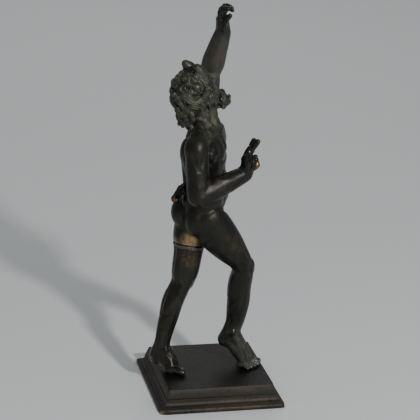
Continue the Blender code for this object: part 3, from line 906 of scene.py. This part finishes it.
work(on_trunk, (
    (((2.75, 0), (2.4, 0), (2.05, 0)), 2.8, -0.9),
    (((1.9, 0), (1.5, 0), (1.0, 0), (0.6, 0)), 2.2, -0.6),
    (((0.93, 0),), 1.7, -1.5),
    (((0.35, 180), (1.0, 180), (1.7, 180), (2.3, 180), (2.9, 180)), 2.8, -1.3),
    (((0.42, 180), (0.1, 180), (-0.3, 180), (-0.7, 180)), 2.0, -2.0),
    (((1.62, -17), (1.60, 0), (1.62, 17)), 1.6, -0.4),
    (((1.36, -19), (1.34, 0), (1.36, 19)), 1.6, -0.4),
    (((1.12, -20), (1.10, 0), (1.12, 20)), 1.6, -0.35),
))
for side in (1, -1):
    lift = 0.16 if side > 0 else 0.0
    work(lambda place, angle: on_trunk(place, angle * side), (
        (((2.02 + lift, 5), (1.98 + lift, 24), (2.12 + lift, 46), (2.45 + lift, 62)), 2.2, -1.0),
        (((2.22 + lift, 12), (2.20 + lift, 30), (2.35 + lift, 44)), 5.0, 0.7),
        (((2.10 + lift, 27),), 1.1, 0.7),
        (((1.82, 5), (1.60, 24), (1.32, 44), (1.15, 62)), 2.0, -0.7),
        (((1.60, 27), (1.20, 30), (0.75, 30), (0.35, 22)), 2.2, -0.7),
        (((1.70, 10), (1.50, 11)), 3.0, 0.35),
        (((1.46, 10), (1.24, 11)), 3.0, 0.35),
        (((0.52, 82), (0.36, 58), (0.08, 36), (-0.28, 17)), 2.2, -1.1),
        (((0.82, 84), (0.62, 60), (0.38, 42)), 4.2, 0.9),
        (((1.98, 66), (1.82, 84)), 1.6, -0.4),
        (((1.76, 62), (1.60, 82)), 1.6, -0.4),
        (((1.54, 60), (1.40, 80)), 1.6, -0.35),
        (((2.00, 74), (1.78, 72), (1.56, 70)), 2.4, 0.4),
        (((0.55, 158),), 2.6, -0.9),
        (((0.75, 168), (1.2, 166), (1.7, 166), (2.1, 166)), 3.0, 0.7),
        (((2.62, 160), (2.25, 152), (1.92, 146)), 2.4, 0.9),
        (((2.55, 166), (2.20, 160), (1.86, 154)), 1.8, -0.6),
        (((1.86, 146), (1.80, 130), (1.95, 112)), 2.2, -0.7),
        (((2.62, 158), (2.72, 138), (2.70, 120)), 2.0, 0.7),
        (((1.55, 112), (1.15, 132), (0.80, 152), (0.60, 166)), 2.6, -0.5),
        (((0.62, 120), (0.50, 142), (0.48, 156)), 2.4, -0.7),
    ), wider=1.1, higher=0.75)

for name in ("l", "r"):
    work(partial(on_limb, *leg_axes(name)), (
        (((0.99, 0),), 4.6, 1.0),
        (((0.90, 0),), 3.0, -0.6),
        (((0.94, 42), (1.02, 48), (1.08, 34)), 1.9, -0.9),
        (((0.94, -42), (1.02, -48), (1.08, -34)), 1.9, -0.9),
        (((1.07, 0), (1.20, -3)), 1.8, 0.7),
        (((0.66, -38), (0.80, -40), (0.93, -44)), 3.4, 1.2),
        (((0.40, 48), (0.65, 46), (0.88, 40)), 4.2, 0.8),
        (((0.30, 12), (0.60, 16), (0.86, 14)), 1.8, -0.5),
        (((0.50, -18), (0.70, -20), (0.86, -18)), 1.8, -0.5),
        (((0.25, 88), (0.60, 92), (0.95, 92)), 2.4, -0.9),
        (((0.20, 15), (0.45, -30), (0.75, -68), (0.97, -92)), 2.0, -0.6),
        (((0.40, -135), (0.65, -140), (0.92, -140), (1.06, -125)), 1.9, 0.8),
        (((0.45, 140), (0.70, 142), (0.94, 138), (1.08, 118)), 1.9, 0.8),
        (((0.35, 180), (0.60, 180), (0.85, 180)), 2.2, -0.7),
        (((0.96, 180), (1.06, 180)), 3.4, -1.1),
        (((1.14, 180), (1.30, 180), (1.48, 180)), 2.0, -0.9),
        (((1.18, -150), (1.32, -148), (1.44, -145)), 3.4, 0.7),
        (((1.16, 150), (1.28, 148), (1.38, 145)), 3.2, 0.6),
        (((1.55, 178), (1.56, -140), (1.46, -108)), 2.0, -0.6),
        (((1.50, 178), (1.48, 142), (1.38, 112)), 2.0, -0.6),
        (((1.12, -14), (1.45, -12), (1.85, -14)), 1.6, 0.5),
        (((1.15, 22), (1.45, 20), (1.82, 14)), 1.7, -0.5),
        (((1.16, 40), (1.35, 38), (1.55, 30)), 2.8, 0.5),
        (((1.18, 88), (1.45, 92), (1.82, 104)), 1.8, -0.8),
        (((1.30, -82), (1.50, -88), (1.65, -94)), 2.4, 0.4),
        (((1.25, -62), (1.50, -70), (1.75, -84)), 1.7, -0.5),
        (((1.74, 138), (1.86, 136), (1.98, 128)), 2.4, -1.2),
        (((1.74, -138), (1.86, -136), (1.98, -128)), 2.4, -1.2),
        (((1.66, 180), (1.82, 180), (1.98, 180)), 1.6, 0.5),
        (((1.96, -88),), 2.7, 1.3),
        (((2.00, 92),), 2.6, 1.3),
    ), wider=1.1, higher=0.7)

for name, front, outer in (
    ("r", np.array((1.0, 0.0, 0.0)), np.array((0.0, -1.0, 0.0))),
    ("l", heading(CHEST_FACING), heading(CHEST_FACING + 90)),
):
    shoulder, elbow, wrist = (joint(n + name) for n in ("shoulder_", "elbow_", "wrist_"))
    work(partial(on_limb, shoulder, elbow, wrist, front, outer), (
        (((0.08, 38), (0.28, 62), (0.50, 88)), 2.2, -0.8),
        (((0.08, 142), (0.28, 118), (0.50, 92)), 2.2, -0.8),
        (((0.12, 90), (0.30, 90)), 4.5, 0.6),
        (((0.30, 15), (0.55, 8), (0.78, 4)), 4.0, 0.8),
        (((0.50, 82), (0.75, 80), (0.94, 68)), 1.9, -0.8),
        (((0.25, -80), (0.55, -84), (0.90, -84)), 2.0, -0.9),
        (((0.30, 150), (0.48, 146), (0.62, 142)), 3.2, 0.7),
        (((0.32, -150), (0.50, -148), (0.66, -146)), 3.2, 0.6),
        (((0.60, 180), (0.76, 180)), 2.6, -0.6),
        (((0.90, 20), (0.94, 0), (0.90, -20)), 1.7, -0.5),
    ), wider=1.1, higher=0.7)
    fold = square_to(unit(shoulder - elbow), unit(wrist - elbow))
    rim = np.cross(unit(wrist - elbow), fold) * (1 if name == "l" else -1)
    work(partial(on_limb, shoulder, elbow, wrist, fold, rim), (
        (((1.0, 180),), 3.4, 1.1),
        (((1.02, 140),), 2.2, -0.7),
        (((1.02, -140),), 2.2, -0.7),
        (((1.02, 60), (1.20, 52), (1.42, 40)), 3.4, 0.9),
        (((1.08, 88), (1.30, 84), (1.60, 70)), 1.7, -0.6),
        (((1.10, 20), (1.30, 14), (1.55, 8)), 1.8, -0.6),
        (((1.08, -45), (1.26, -40), (1.45, -30)), 3.0, 0.7),
        (((1.12, 150), (1.45, 160), (1.85, 165)), 1.5, -0.5),
        (((1.10, -100), (1.40, -110), (1.75, -120)), 1.6, -0.5),
        (((1.93, 130),), 2.0, 0.8),
    ), wider=1.2, higher=0.6)

# Neck cords, throat and collar bones
neck = joint("neck")
chest_front = heading(CHEST_FACING)
over_bone = unit(chest_front + UP * 0.6)
notch = skin.touch(neck - UP * 6, chest_front)
for side in (1, -1):
    aside = heading(CHEST_FACING + 90) * side
    shoulder = joint("shoulder_l" if side > 0 else "shoulder_r")
    skin.draw([
        notch + aside * 1.5, neck + UP * 6 + aside * 6 + chest_front * 3, neck + UP * 14 + aside * 8
    ], 2.4, 0.9)
    bone = [
        between(notch, shoulder + chest_front * 6, share) + UP * 2 - chest_front * 8
        for share in (0.12, 0.35, 0.6, 0.85)
    ]
    skin.draw([skin.touch(spot, chest_front) for spot in bone], 1.9, 0.9)
    skin.draw([skin.touch(spot + UP * 4, over_bone) for spot in bone[:3]], 2.4, -0.9)
skin.draw([notch], 2.2, -1.0)

# The left thigh has been broken through and run together again with a rough bead of solder
CRACK_SHARE, BREAK_SHARE = 0.405, 0.43  # of the way down the thigh
broken = partial(on_limb, *leg_axes("l"))
shake = random.Random(4)
for share, radius, height in ((CRACK_SHARE, 1.0, -0.55), (BREAK_SHARE, 1.6, 0.35)):
    skin.draw([broken(share, angle) for angle in range(0, 361, 12)], radius, height)
for _ in range(90):
    spot = broken(shake.gauss(0.435, 0.012), shake.uniform(0, 360))
    skin.draw([spot], shake.uniform(0.8, 1.4), shake.uniform(-0.3, 0.4))

wax = wax_over(skin.close(MUSCLE_ROUNDS))
feet = [lay_toes(wax, side) for side in ("r", "l")]
hands = [lay_fingers(wax, side) for side in ("r", "l")]
lay_tail(wax)
body = wax.fuse("faun_body", BODY_GRAIN, BODY_ROUNDS)


def cut_nail(skin, tip, along, out, radius):
    """Outlines a nail on the back of a finger or toe."""
    across = np.cross(out, along)
    skin.draw([
        skin.touch(tip + (along * ahead + across * aside) * radius, out)
        for ahead, aside in (
            (0.7, 0.62), (0.1, 0.66), (-0.4, 0.42), (-0.55, 0),
            (-0.4, -0.42), (0.1, -0.66), (0.7, -0.62),
        )
    ], 0.5, -0.28)


# Nails, knuckles and the cords that run to them are cut once the skin is one
skin = Skin(body)
for fingers, wrist, back in hands:
    for path, radius, along, out in fingers:
        if np.dot(out, back) > 0.3:
            cut_nail(skin, path[-1], along, out, radius)
    for path, radius, along, out in fingers[:4]:
        cord = [skin.touch(between(wrist, path[0], share), back) for share in (0.3, 0.65, 1.0)]
        skin.draw(cord, 0.9, 0.4)
        skin.draw(cord[-1:], 1.7, 0.5)
for toes in feet:
    for (path, radius, way), (beside, *_) in zip(toes, toes[1:] + [(None,)]):
        cut_nail(skin, path[-1], way, UP, radius)
        upper = unit(way + UP * 0.4)
        cord = [
            path[0] + (toes[1][0][0] - path[0]) * pinch + UP * high - way * back
            for high, back, pinch in ((14, 4.5, 0.4), (7, 2.5, 0.2), (0, 0, 0), (0, -4, 0))
        ]
        skin.draw([skin.touch(spot, upper) for spot in cord], 1.0, 0.4)
        if beside:
            split = [skin.touch(between(path[k], beside[k], 0.5), UP) for k in (0, 1, 2, 3)]
            skin.draw(split, 0.8, -0.8)
body = skin.close(1)


def mark_hollows(piece):
    """Stores how far each point lies under the surface round it, in tenths of a millimetre."""
    mesh = piece.data
    points = read_rows(mesh.vertices, "co")
    normals = read_rows(mesh.vertex_normals, "vector")
    pairs = read_rows(mesh.edges, "vertices", 2, int).T
    here, there = np.hstack([pairs, pairs[::-1]])
    count = np.bincount(here, minlength=len(points))
    spread = points.copy()
    for name, rounds in (("hollow_fine", 4), ("hollow_wide", 45)):
        for _ in range(rounds):
            spread = np.stack([
                np.bincount(here, spread[there, k], minlength=len(points)) / count for k in range(3)
            ], axis=1)
        depth = ((spread - points) * normals).sum(1) * (10 * MM)
        mesh.attributes.new(name, "FLOAT", "POINT").data.foreach_set("value", depth)


def cast(piece, triangles):
    """Sets a finished skin on the plinth, in metres, and thins it to its triangles."""
    points = read_rows(piece.data.vertices, "co")
    points[:, 2] = np.maximum(points[:, 2], SEAT_GAP * MM)
    points = points / MM + UP * TOP
    piece.data.vertices.foreach_set("co", points.ravel())
    piece.data.update()
    thin = piece.modifiers.new("thin", "DECIMATE")
    thin.ratio = min(1, triangles / (2 * len(piece.data.polygons)))
    thin.use_collapse_triangulate = True
    bpy.ops.object.modifier_apply(modifier="thin")
    piece.data.shade_smooth()
    mark_hollows(piece)
    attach(piece, "root")
    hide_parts("faun")


cast(body, BODY_TRIANGLES)

# Near-black patina over brown metal: olive grey in the hollows of the head, warm where hands have
# rubbed it, and bare yellow metal along the break in the left thigh.
dark = Finish("figure_bronze", (0.0150, 0.0145, 0.0110))
cloud = dark.noise(45, 4, 0.6)
mottle = dark.noise(240, 5, 0.62)
speck = dark.noise(1300, 3, 0.55)
fine, wide = dark.stored("hollow_fine"), dark.stored("hollow_wide")
dark.lay((0.026, 0.022, 0.0145), cloud.ramp(0.50, 0.66) * 0.75)
dark.lay((0.0050, 0.0048, 0.0042), mottle.ramp(0.54, 0.68) * 0.7)


def near_to(*places):
    """1 within the inner distance of any of the places and 0 past the outer, in millimetres."""
    first, *rest = (
        dark.away((np.array(place) + UP * (TOP * MM)) / MM).ramp(outer, inner)
        for place, inner, outer in places
    )
    return first.most(*rest)


head_near = near_to((joint("skull") - UP * 2, 24, 46))
recess = wide.ramp(0.3, 3.5).most(fine.ramp(0.15, 0.9))
matt = near_to((joint("ball_r") + UP * 10, 10, 30), (joint("elbow_l") + UP * 14, 12, 34))
dark.lay((0.105, 0.104, 0.090), matt * (mottle.ramp(0.34, 0.70) * 0.35 + 0.30))
dark.lay((0.072, 0.074, 0.054), head_near * mottle.ramp(0.34, 0.60) * 0.85)
dark.lay((0.165, 0.170, 0.112), head_near * recess * mottle.ramp(0.38, 0.56) * 0.80)
dark.lay((0.040, 0.038, 0.026), recess * cloud.ramp(0.35, 0.6) * 0.55)
rubbed = (-1 * fine).ramp(0.35, 1.6) * mottle.ramp(0.48, 0.60)
dark.lay((0.075, 0.056, 0.030), rubbed * 0.40)
# Bare yellow metal rubbed through at the left heel and on the right hand; the spot on the round end
# of the tail is a painted highlight, set on its side towards the camera.
bare_metal_and_glint = near_to(
    (joint("heel_l") + np.array((-4.0, -2.0, -1.0)), 0.5, 3.6),
    ((-36.8, -15.2, 143.8), 0.2, 2.9),
    (joint("wrist_r") + np.array((6.5, -4.5, 8.0)), 1.0, 4.5),
    (joint("wrist_r") + np.array((10.0, -1.0, 26.0)), 0.6, 3.2),
)
dark.lay((0.30, 0.175, 0.055), bare_metal_and_glint * mottle.ramp(0.44, 0.56))
low_down = dark.along((0, 0, 1)).ramp(23.5, 20.5)
for ball in ("ball_l", "ball_r"):
    toe_tips = near_to((joint(ball) + heading(TOES_FACING) * 8, 4, 13))
    dark.lay((0.20, 0.20, 0.175), toe_tips * low_down * mottle.ramp(0.44, 0.60) * 0.7)

# The break: yellow metal rubbed bare above it, a rough grey bead along it and brown stains below
BREAK = between(joint("hip_l"), joint("knee_l"), BREAK_SHARE)
BREAK_ACROSS = unit(joint("hip_l") - joint("knee_l"))
seam = dark.along(BREAK_ACROSS) - float(BREAK_ACROSS @ (BREAK + UP * (TOP * MM)))
seam = seam + (dark.noise(130, 3) - 0.5) * 2.2
on_thigh = near_to((BREAK, 15, 22))
upper = BREAK + BREAK_ACROSS * 6.5
above_seam = seam.ramp(1.2, 2.0)
open_metal = near_to((upper + np.array((-1.5, -9.5, 0)), 2.0, 10.5)) * above_seam
open_metal = open_metal.most(
    near_to((upper + np.array((-9, -3, -3)), 1.0, 7.0)) * above_seam * 0.8
)
dark.lay((0.27, 0.19, 0.085), open_metal * mottle.ramp(0.22, 0.46))
dark.lay((0.50, 0.36, 0.15), open_metal * open_metal * mottle.ramp(0.46, 0.62) * 0.8)
stain = near_to((BREAK - BREAK_ACROSS * 9.0 + np.array((0.5, -9, 0)), 1.0, 12.0))
dark.lay((0.105, 0.060, 0.030), stain * mottle.ramp(0.36, 0.66) * 0.8)
bead = on_thigh * seam.ramp(-1.9, -1.1) * seam.ramp(0.9, 0.4)
dark.lay((0.120, 0.112, 0.086), bead * speck.ramp(0.35, 0.6) * mottle.ramp(0.30, 0.5))
dark.lay((0.0045, 0.0042, 0.0036), on_thigh * seam.ramp(0.6, 1.0) * seam.ramp(1.9, 1.4))


def along_limb(root, end, share):
    return between(joint(root), joint(end), share)


# Brown where the limbs are handled. The right side is duller, the left calf and the neck glossier.
for place, inner, outer in (
    (along_limb("elbow_r", "wrist_r", 0.45) + np.array((0, -6, 3)), 2, 11),
    (along_limb("elbow_l", "wrist_l", 0.45) + np.array((0, -6, 0)), 3, 13),
    (along_limb("hip_r", "knee_r", 0.6) + np.array((0, -9, 8)), 4, 17),
):
    handled = near_to((place, inner, outer)) * mottle.ramp(0.42, 0.66)
    dark.lay((0.070, 0.048, 0.024), handled * 0.6)
dull = near_to(
    (along_limb("elbow_r", "wrist_r", 0.4), 12, 30),
    (along_limb("shoulder_r", "elbow_r", 0.45), 14, 32),
    (along_limb("knee_r", "ankle_r", 0.45), 14, 32),
    (along_limb("hip_r", "knee_r", 0.45), 14, 32),
    (joint("hip_r"), 12, 26),
)
gloss = near_to((along_limb("knee_l", "ankle_l", 0.2), 6, 34), (joint("skull"), 14, 22))
polish = (
    mottle.ramp(0.3, 0.75) * 0.13 + cloud * 0.10 + 0.19 + matt * 0.10 + recess * 0.25
    + head_near * 0.16 + bead * 0.1 + dull * 0.12 - gloss * 0.12
)
body.data.materials.append(dark.finish(
    0.55 + rubbed * 0.3 + bare_metal_and_glint * 0.35 - head_near * 0.15,
    polish - bare_metal_and_glint * 0.08,
    speck * 0.5 + mottle * 0.6 + dark.noise(3200, 2) * 0.25 + bead * dark.noise(700, 4, 0.7) * 4,
    BUMP_DEPTH,
))


# Head
# Cast with the figure: a bearded face, pointed ears, two small horns and thick curling locks. Its
# face is calm and plain. The hair and beard are chased deeply, lock by lock, each with its strands.

HEAD_FACING = 26
HEAD_TILT = 40
HEAD_GRAIN, HEAD_ROUNDS = ((0.32, 2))
HEAD_TRIANGLES = 195000

tilt = math.radians(HEAD_TILT)
FACE = heading(HEAD_FACING) * math.cos(tilt) + UP * math.sin(tilt)
LEFT = heading(HEAD_FACING + 90)
CROWN = np.cross(FACE, LEFT)


def at(ahead, aside, above):
    """A place on the head, in millimetres from the middle of the skull."""
    return joint("skull") + FACE * ahead + LEFT * aside + CROWN * above


wax = Wax()
for place, radii in (
    ((-1, 0, 3), (14, 11.5, 12.5)), ((5, 0, -6), (8.8, 8.6, 11.5)), ((8, 0, 6), (5, 8.4, 6)),
    ((10, 0, -15.2), (3.0, 3.4, 3.0)), ((9.8, 0, -9.4), (3.6, 5.0, 4.4)),
):
    wax.lump(at(*place), radii, FACE, CROWN)
for side in (1, -1):
    wax.lump(at(8.2, 5.4 * side, -3.6), (3.4, 2.8, 2.6), FACE, CROWN)
    wax.limb(
        [at(-2, 7.6 * side, -8), at(4, 6.2 * side, -13.5), at(9, 1.5 * side, -15.5)],
        [3, 3, 2.6], None, FACE,
    )
    wax.limb(
        [at(12.2, 1.0 * side, 2.7), at(11.8, 4 * side, 3.6), at(9.2, 7 * side, 2.4)],
        [1.1, 1.2, 1.0], None, FACE, sides=12,
    )
    wax.lump(at(13.2, 1.7 * side, -5.2), (1.4, 1.1, 1.1), FACE, CROWN)
wax.limb(
    [at(11.6, 0, 3.6), at(13.6, 0, -1), at(15.2, 0, -4.8)], [1.4, 1.6, 1.7], [1.3, 1.4, 1.7], FACE
)
face = Skin(wax.fuse("soft_head", 0.5, 5))
for side in (1, -1):
    for path, radius, height in (
        (((12.0, 3.7, 0.2),), 3.0, -1.9),
        (((12.0, 2.4, 1.2), (12, 4.2, 1.4), (10.5, 6, 0.6)), 1.3, -0.5),
        (((13, 2.6, -4.6), (12.5, 3.6, -7.2), (11.5, 4.2, -9.4)), 1.3, -0.35),
        (((15, 0.8, -6.2),), 0.7, -0.5),
    ):
        face.draw([at(ahead, aside * side, above) for ahead, aside, above in path], radius, height)
face.draw([at(13.6, 0, -6.2), at(13.4, 0, -7.8)], 0.7, -0.3)
face.draw([at(11.6, 0, -12.2)], 1.8, -0.6)

wax = wax_over(face.close(1))
for side in (1, -1):
    wax.lump(at(10.1, 3.7 * side, 0.1), (1.9, 2.1, 1.9), FACE, CROWN)
    for path, girths in (  # the lids and half the upper lip
        (((11.3, 1.9, 0.0), (12.3, 3.5, 1.1), (10.9, 5.7, 0.0)), [0.35, 0.5, 0.35]),
        (((11.3, 2.1, -0.2), (11.9, 3.7, -1.1), (10.9, 5.5, -0.2)), [0.3, 0.4, 0.3]),
        (((13.3, 0, -8.5), (13.1, 1.1, -8.2), (11.6, 2.9, -9.1)), [0.75, 0.75, 0.35]),
    ):
        mirrored = [at(ahead, aside * side, above) for ahead, aside, above in path]
        wax.limb(mirrored, girths, None, FACE, sides=10)
    # Pointed ears, cupped forward, with the horns above them at the hairline
    wax.limb(
        [at(0.5, 11 * side, -3), at(-1.5, 14.3 * side, 1.5), at(-4, 17 * side, 6.5)],
        [3.2, 3.2, 0.8], [1.6, 1.5, 0.7], FACE, sides=16,
    )
    wax.limb(
        [at(5.5, 5.4 * side, 8), at(7.6, 6.4 * side, 13.6), at(7.4, 6.8 * side, 18.4)],
        [5.6, 5.0, 3.0], None, FACE, sides=18,
    )
wax.limb(
    [at(11.7, -2.6, -9.7), at(13.0, 0, -10.3), at(11.7, 2.6, -9.7)],
    [0.4, 0.9, 0.4], None, FACE, sides=10,
)


HAIR_CENTRE = at(-2.2, 0, 2.4)
HAIR_REACH = np.array((17.0, 13.8, 14.3))
HEAD_AXES = np.array((FACE, LEFT, CROWN))


def on_scalp(place):
    """The nearest place on the egg that the hair lies on, and the way out of it there."""
    spot = HEAD_AXES @ (place - HAIR_CENTRE)
    spot = spot / np.linalg.norm(spot / HAIR_REACH)
    return HAIR_CENTRE + spot @ HEAD_AXES, unit((spot / HAIR_REACH**2) @ HEAD_AXES)


def settle(spot, out, scalp):
    """A place of a lock with the way out there: on the scalp, or where it is if it hangs free."""
    return on_scalp(spot) if scalp else (spot, out)


def lay_lock(wax, root, flow, out, length, width, hook=1, scalp=True):
    """A flat lock that follows the scalp along flow and hooks to one side at its tip."""
    flow = square_to(flow, out)
    across = np.cross(out, flow) * hook
    shares = (  # along the flow in lengths, then across it and outwards in widths
        (-0.25, -0.1, -0.5), (0.0, 0.0, 0.12), (0.32, 0.42, 0.26), (0.62, 0.30, 0.24),
        (0.86, -0.25, 0.26), (0.86, -0.85, 0.36), (0.66, -1.05, 0.42), (0.52, -0.70, 0.30),
    )
    path = []
    for share, aside, lift in shares:
        spot = root + flow * (share * length) + across * (aside * width)
        spot, away = settle(spot, out, scalp)
        path.append(spot + away * (lift * width))
    wax.limb(
        path,
        np.array((0.34, 0.44, 0.46, 0.42, 0.38, 0.32, 0.24, 0.14)) * width,
        np.array((0.44, 0.66, 0.62, 0.52, 0.42, 0.32, 0.22, 0.12)) * width, out, steps=4, sides=32,
        strands=8, cut=0.42,
    )


def lay_curl(wax, middle, flow, out, reach, hand=1, scalp=True):
    """A lock wound like a snail about a middle, its strands running round with it."""
    flow = square_to(flow, out)
    across = np.cross(out, flow) * hand
    turns = np.linspace(-0.9, 4.9, 10)
    arms = np.linspace(1.45, 0.30, 10)
    path = []
    for k, (turn, arm) in enumerate(zip(turns, arms)):
        spot = middle + (flow * math.cos(turn) + across * math.sin(turn)) * (arm * reach)
        spot, away = settle(spot, out, scalp)
        path.append(spot + away * (reach * (0.10 + 0.055 * k) - (1.0 if k == 0 else 0)))
    wax.lump(middle + out * 0.1 * reach, (0.8 * reach,) * 3, out, flow)
    wax.limb(
        path,
        np.linspace(0.62, 0.42, 10) * reach,
        np.array((0.30, 0.50, 0.56, 0.56, 0.54, 0.50, 0.46, 0.40, 0.34, 0.24)) * reach, out,
        steps=3, sides=36, strands=6, cut=0.5,
    )


# The cap of hair, its curls and waves in rows from the crown to the hairline. They leave room for a
# round knob of tightly wound hair over each temple.
knobs = [on_scalp(at(-3.5, 11.8 * side, 10.3)) for side in (1, -1)]
chance = random.Random(23)
wax.lump(HAIR_CENTRE - FACE * 0.6, HAIR_REACH - 0.7, FACE, CROWN)
crown = unit(CROWN - FACE * 0.55 + LEFT * 0.15)
ahead = square_to(FACE, crown)
for row, (angle, count) in enumerate((
    (6, 1), (32, 5), (58, 9), (84, 11), (108, 11), (131, 8), (150, 5),
)):
    for k in range(count):
        around = math.tau * (k + 0.5 * (row % 2) + chance.uniform(-0.12, 0.12)) / count
        tip = math.radians(angle + chance.uniform(-4, 4))
        spoke = ahead * math.cos(around) + LEFT * math.sin(around)
        out = crown * math.cos(tip) + spoke * math.sin(tip)
        size = chance.uniform(0.88, 1.15)
        turn = chance.uniform(-1.2, 1.2)
        hand = 1 if chance.random() < 0.5 else -1
        if out @ FACE > 0.36 and angle > 40 or out @ CROWN < -0.86:
            continue
        root, away = on_scalp(HAIR_CENTRE + out * 15)
        if min(np.linalg.norm(root - knob) for knob, _ in knobs) < 5.8:
            continue
        flow = spoke * math.cos(tip) - crown * math.sin(tip) + np.cross(out, spoke) * turn
        if chance.random() < 0.7:
            lay_curl(wax, root, flow, away, 2.9 * size, hand)
        else:
            root = root - square_to(flow, away) * 4
            lay_lock(wax, root, flow, away, 12 * size, 4.6 * size, hand)

# Long waves either side of the middle of the back of the head
for aside in (-6.2, -3.0, 3.0, 6.2):
    path = []
    for k in range(8):
        spot, away = on_scalp(at(1 - 2.4 * k, aside + (0.8 if k % 2 else -0.8), 15 - 2.6 * k))
        path.append(spot + away * (0.9 - 1.6 * (k == 0)))
    wax.limb(
        path, [1.2] + [1.5] * 6 + [0.9], [1.0] + [1.6] * 6 + [0.9],
        at(-30, aside, 6) - HAIR_CENTRE, steps=4, sides=28, strands=5, cut=0.5,
    )

# Small ringlets over the temples and cheeks, round the face to the beard
for side in (1, -1):
    for ahead_by, above in (
        (8.5, 11.5), (9.5, 7.5), (6.0, 8.5), (7.0, 4.5), (3.5, 5.0), (6.8, 0.8), (3.6, 1.0),
        (5.8, -3.2), (2.4, -3.0), (5.4, -7.0), (1.8, -6.8), (-1.6, -9.0), (3.4, -10.4),
        (7.0, -10.6),
    ):
        bulge = 8.6 + 2.6 * math.sqrt(max(0, 1 - (above / 13) ** 2))
        aside = bulge - 0.16 * max(0, ahead_by - 2) ** 1.3
        root = at(ahead_by - 1.0, aside * side, above)
        out = unit(FACE * 0.45 + LEFT * side + CROWN * (0.03 * above))
        flow = unit(FACE * chance.uniform(-0.6, 0.4) - CROWN)
        hand = 1 if chance.random() < 0.5 else -1
        lay_lock(wax, root, flow, out, 5.6, 2.9, hand, scalp=False)

for spot, away in knobs:
    wax.lump(spot - away * 1.6, (2.6, 6.4, 6.4), away, CROWN)
    wax.lump(spot + away * 0.5, (1.5, 3.1, 3.1), away, CROWN)

# Locks that hang down the nape towards the shoulder blades, over a mass of hair
skull = joint("skull")
nape = -heading(HEAD_FACING)
wax.limb(
    [skull + nape * 6 - UP * 6, skull + nape * 8.5 - UP * 15, skull + nape * 6 - UP * 24],
    [7.5, 5.4, 3.2], [9.0, 7.4, 4.6], nape,
)
for tier, (top, count, length) in enumerate(((6, 6, 12), (12, 7, 12), (17, 6, 11))):
    for k in range(count):
        spread = (2 * k - count + 1) / count
        out = unit(nape + LEFT * (0.9 * spread))
        sway = LEFT * (1.3 if (k + tier) % 2 else -1.3)
        root = skull + nape * (7.6 - 0.14 * top) - UP * top + LEFT * (7.4 - 0.14 * top) * spread
        wax.limb(
            [root + out * 2.2] + [
                root + out * stand - UP * (length * drop) + sway * swing
                for stand, drop, swing in (
                    (5.4, 0.3, 1), (5.0, 0.62, -1), (4.4, 0.88, 0.6), (4.2, 1, 1.2),
                )
            ],
            [1.6, 2.1, 2.0, 1.8, 1.3], [1.3, 2.1, 2.1, 1.8, 1.2], out,
            steps=5, sides=28, strands=4, cut=0.45,
        )

# Beard and moustache, which jut forward from the chin
JUT = unit(FACE * 0.54 - CROWN * 0.84)
beard_front = square_to(FACE, JUT)
wax.limb(
    [at(4.2, 0, -12.6), at(7.2, 0, -17.6), at(9.8, 0, -21.8)],
    [7.4, 6.4, 3.8], [7.6, 6.4, 3.8], beard_front,
)
for tier, (start, count, width) in enumerate((
    (-0.6, 6, 3.4), (2.6, 5, 3.6), (5.6, 5, 3.4), (8.0, 3, 3.0),
)):
    for k in range(count):
        spread = (2 * k - count + 1) / count
        for over in ((1, -1) if tier else (1,)):
            out = unit(beard_front * (over * (1.1 - abs(spread))) + LEFT * (1.2 * spread))
            root = at(5.6, 0, -14.4) + JUT * start + LEFT * ((6.4 - 0.28 * start) * spread)
            root = root + out * (5.4 - 0.20 * start)
            hand = 1 if (k + tier) % 2 else -1
            if (k + tier) % 3:
                flow = JUT - LEFT * (0.15 * spread)
                lay_lock(wax, root, flow, out, 6.2, width, hand, scalp=False)
            else:
                lay_curl(wax, root + JUT * 2.4, JUT, out, width * 0.62, hand, scalp=False)
for side in (1, -1):
    wax.limb(
        [at(13.2, 0.6 * side, -7.2), at(13.2, 2.4 * side, -8.0), at(11.6, 4.6 * side, -10.4),
         at(11.4, 5.4 * side, -13.2)],
        [0.9, 1.3, 1.2, 0.5], [0.8, 1.2, 1.2, 0.5], FACE, steps=6, sides=24, strands=5, cut=0.4,
    )
head = wax.fuse("faun_head", HEAD_GRAIN, HEAD_ROUNDS)
chased = Skin(head)
for spot, away in knobs:
    ring_a = square_to(FACE, away)
    ring_b = np.cross(away, ring_a)
    rim = []
    for turn in np.linspace(0, math.tau * 1.08, 22):
        spoke = ring_a * math.cos(turn) + ring_b * math.sin(turn)
        rim.append(chased.touch(spot - away * 3 + spoke * 3.9, away))
    chased.draw(rim, 0.9, -1.1, away)
head = chased.close()
cast(head, HEAD_TRIANGLES)
head.data.materials.append(body.data.materials[0])
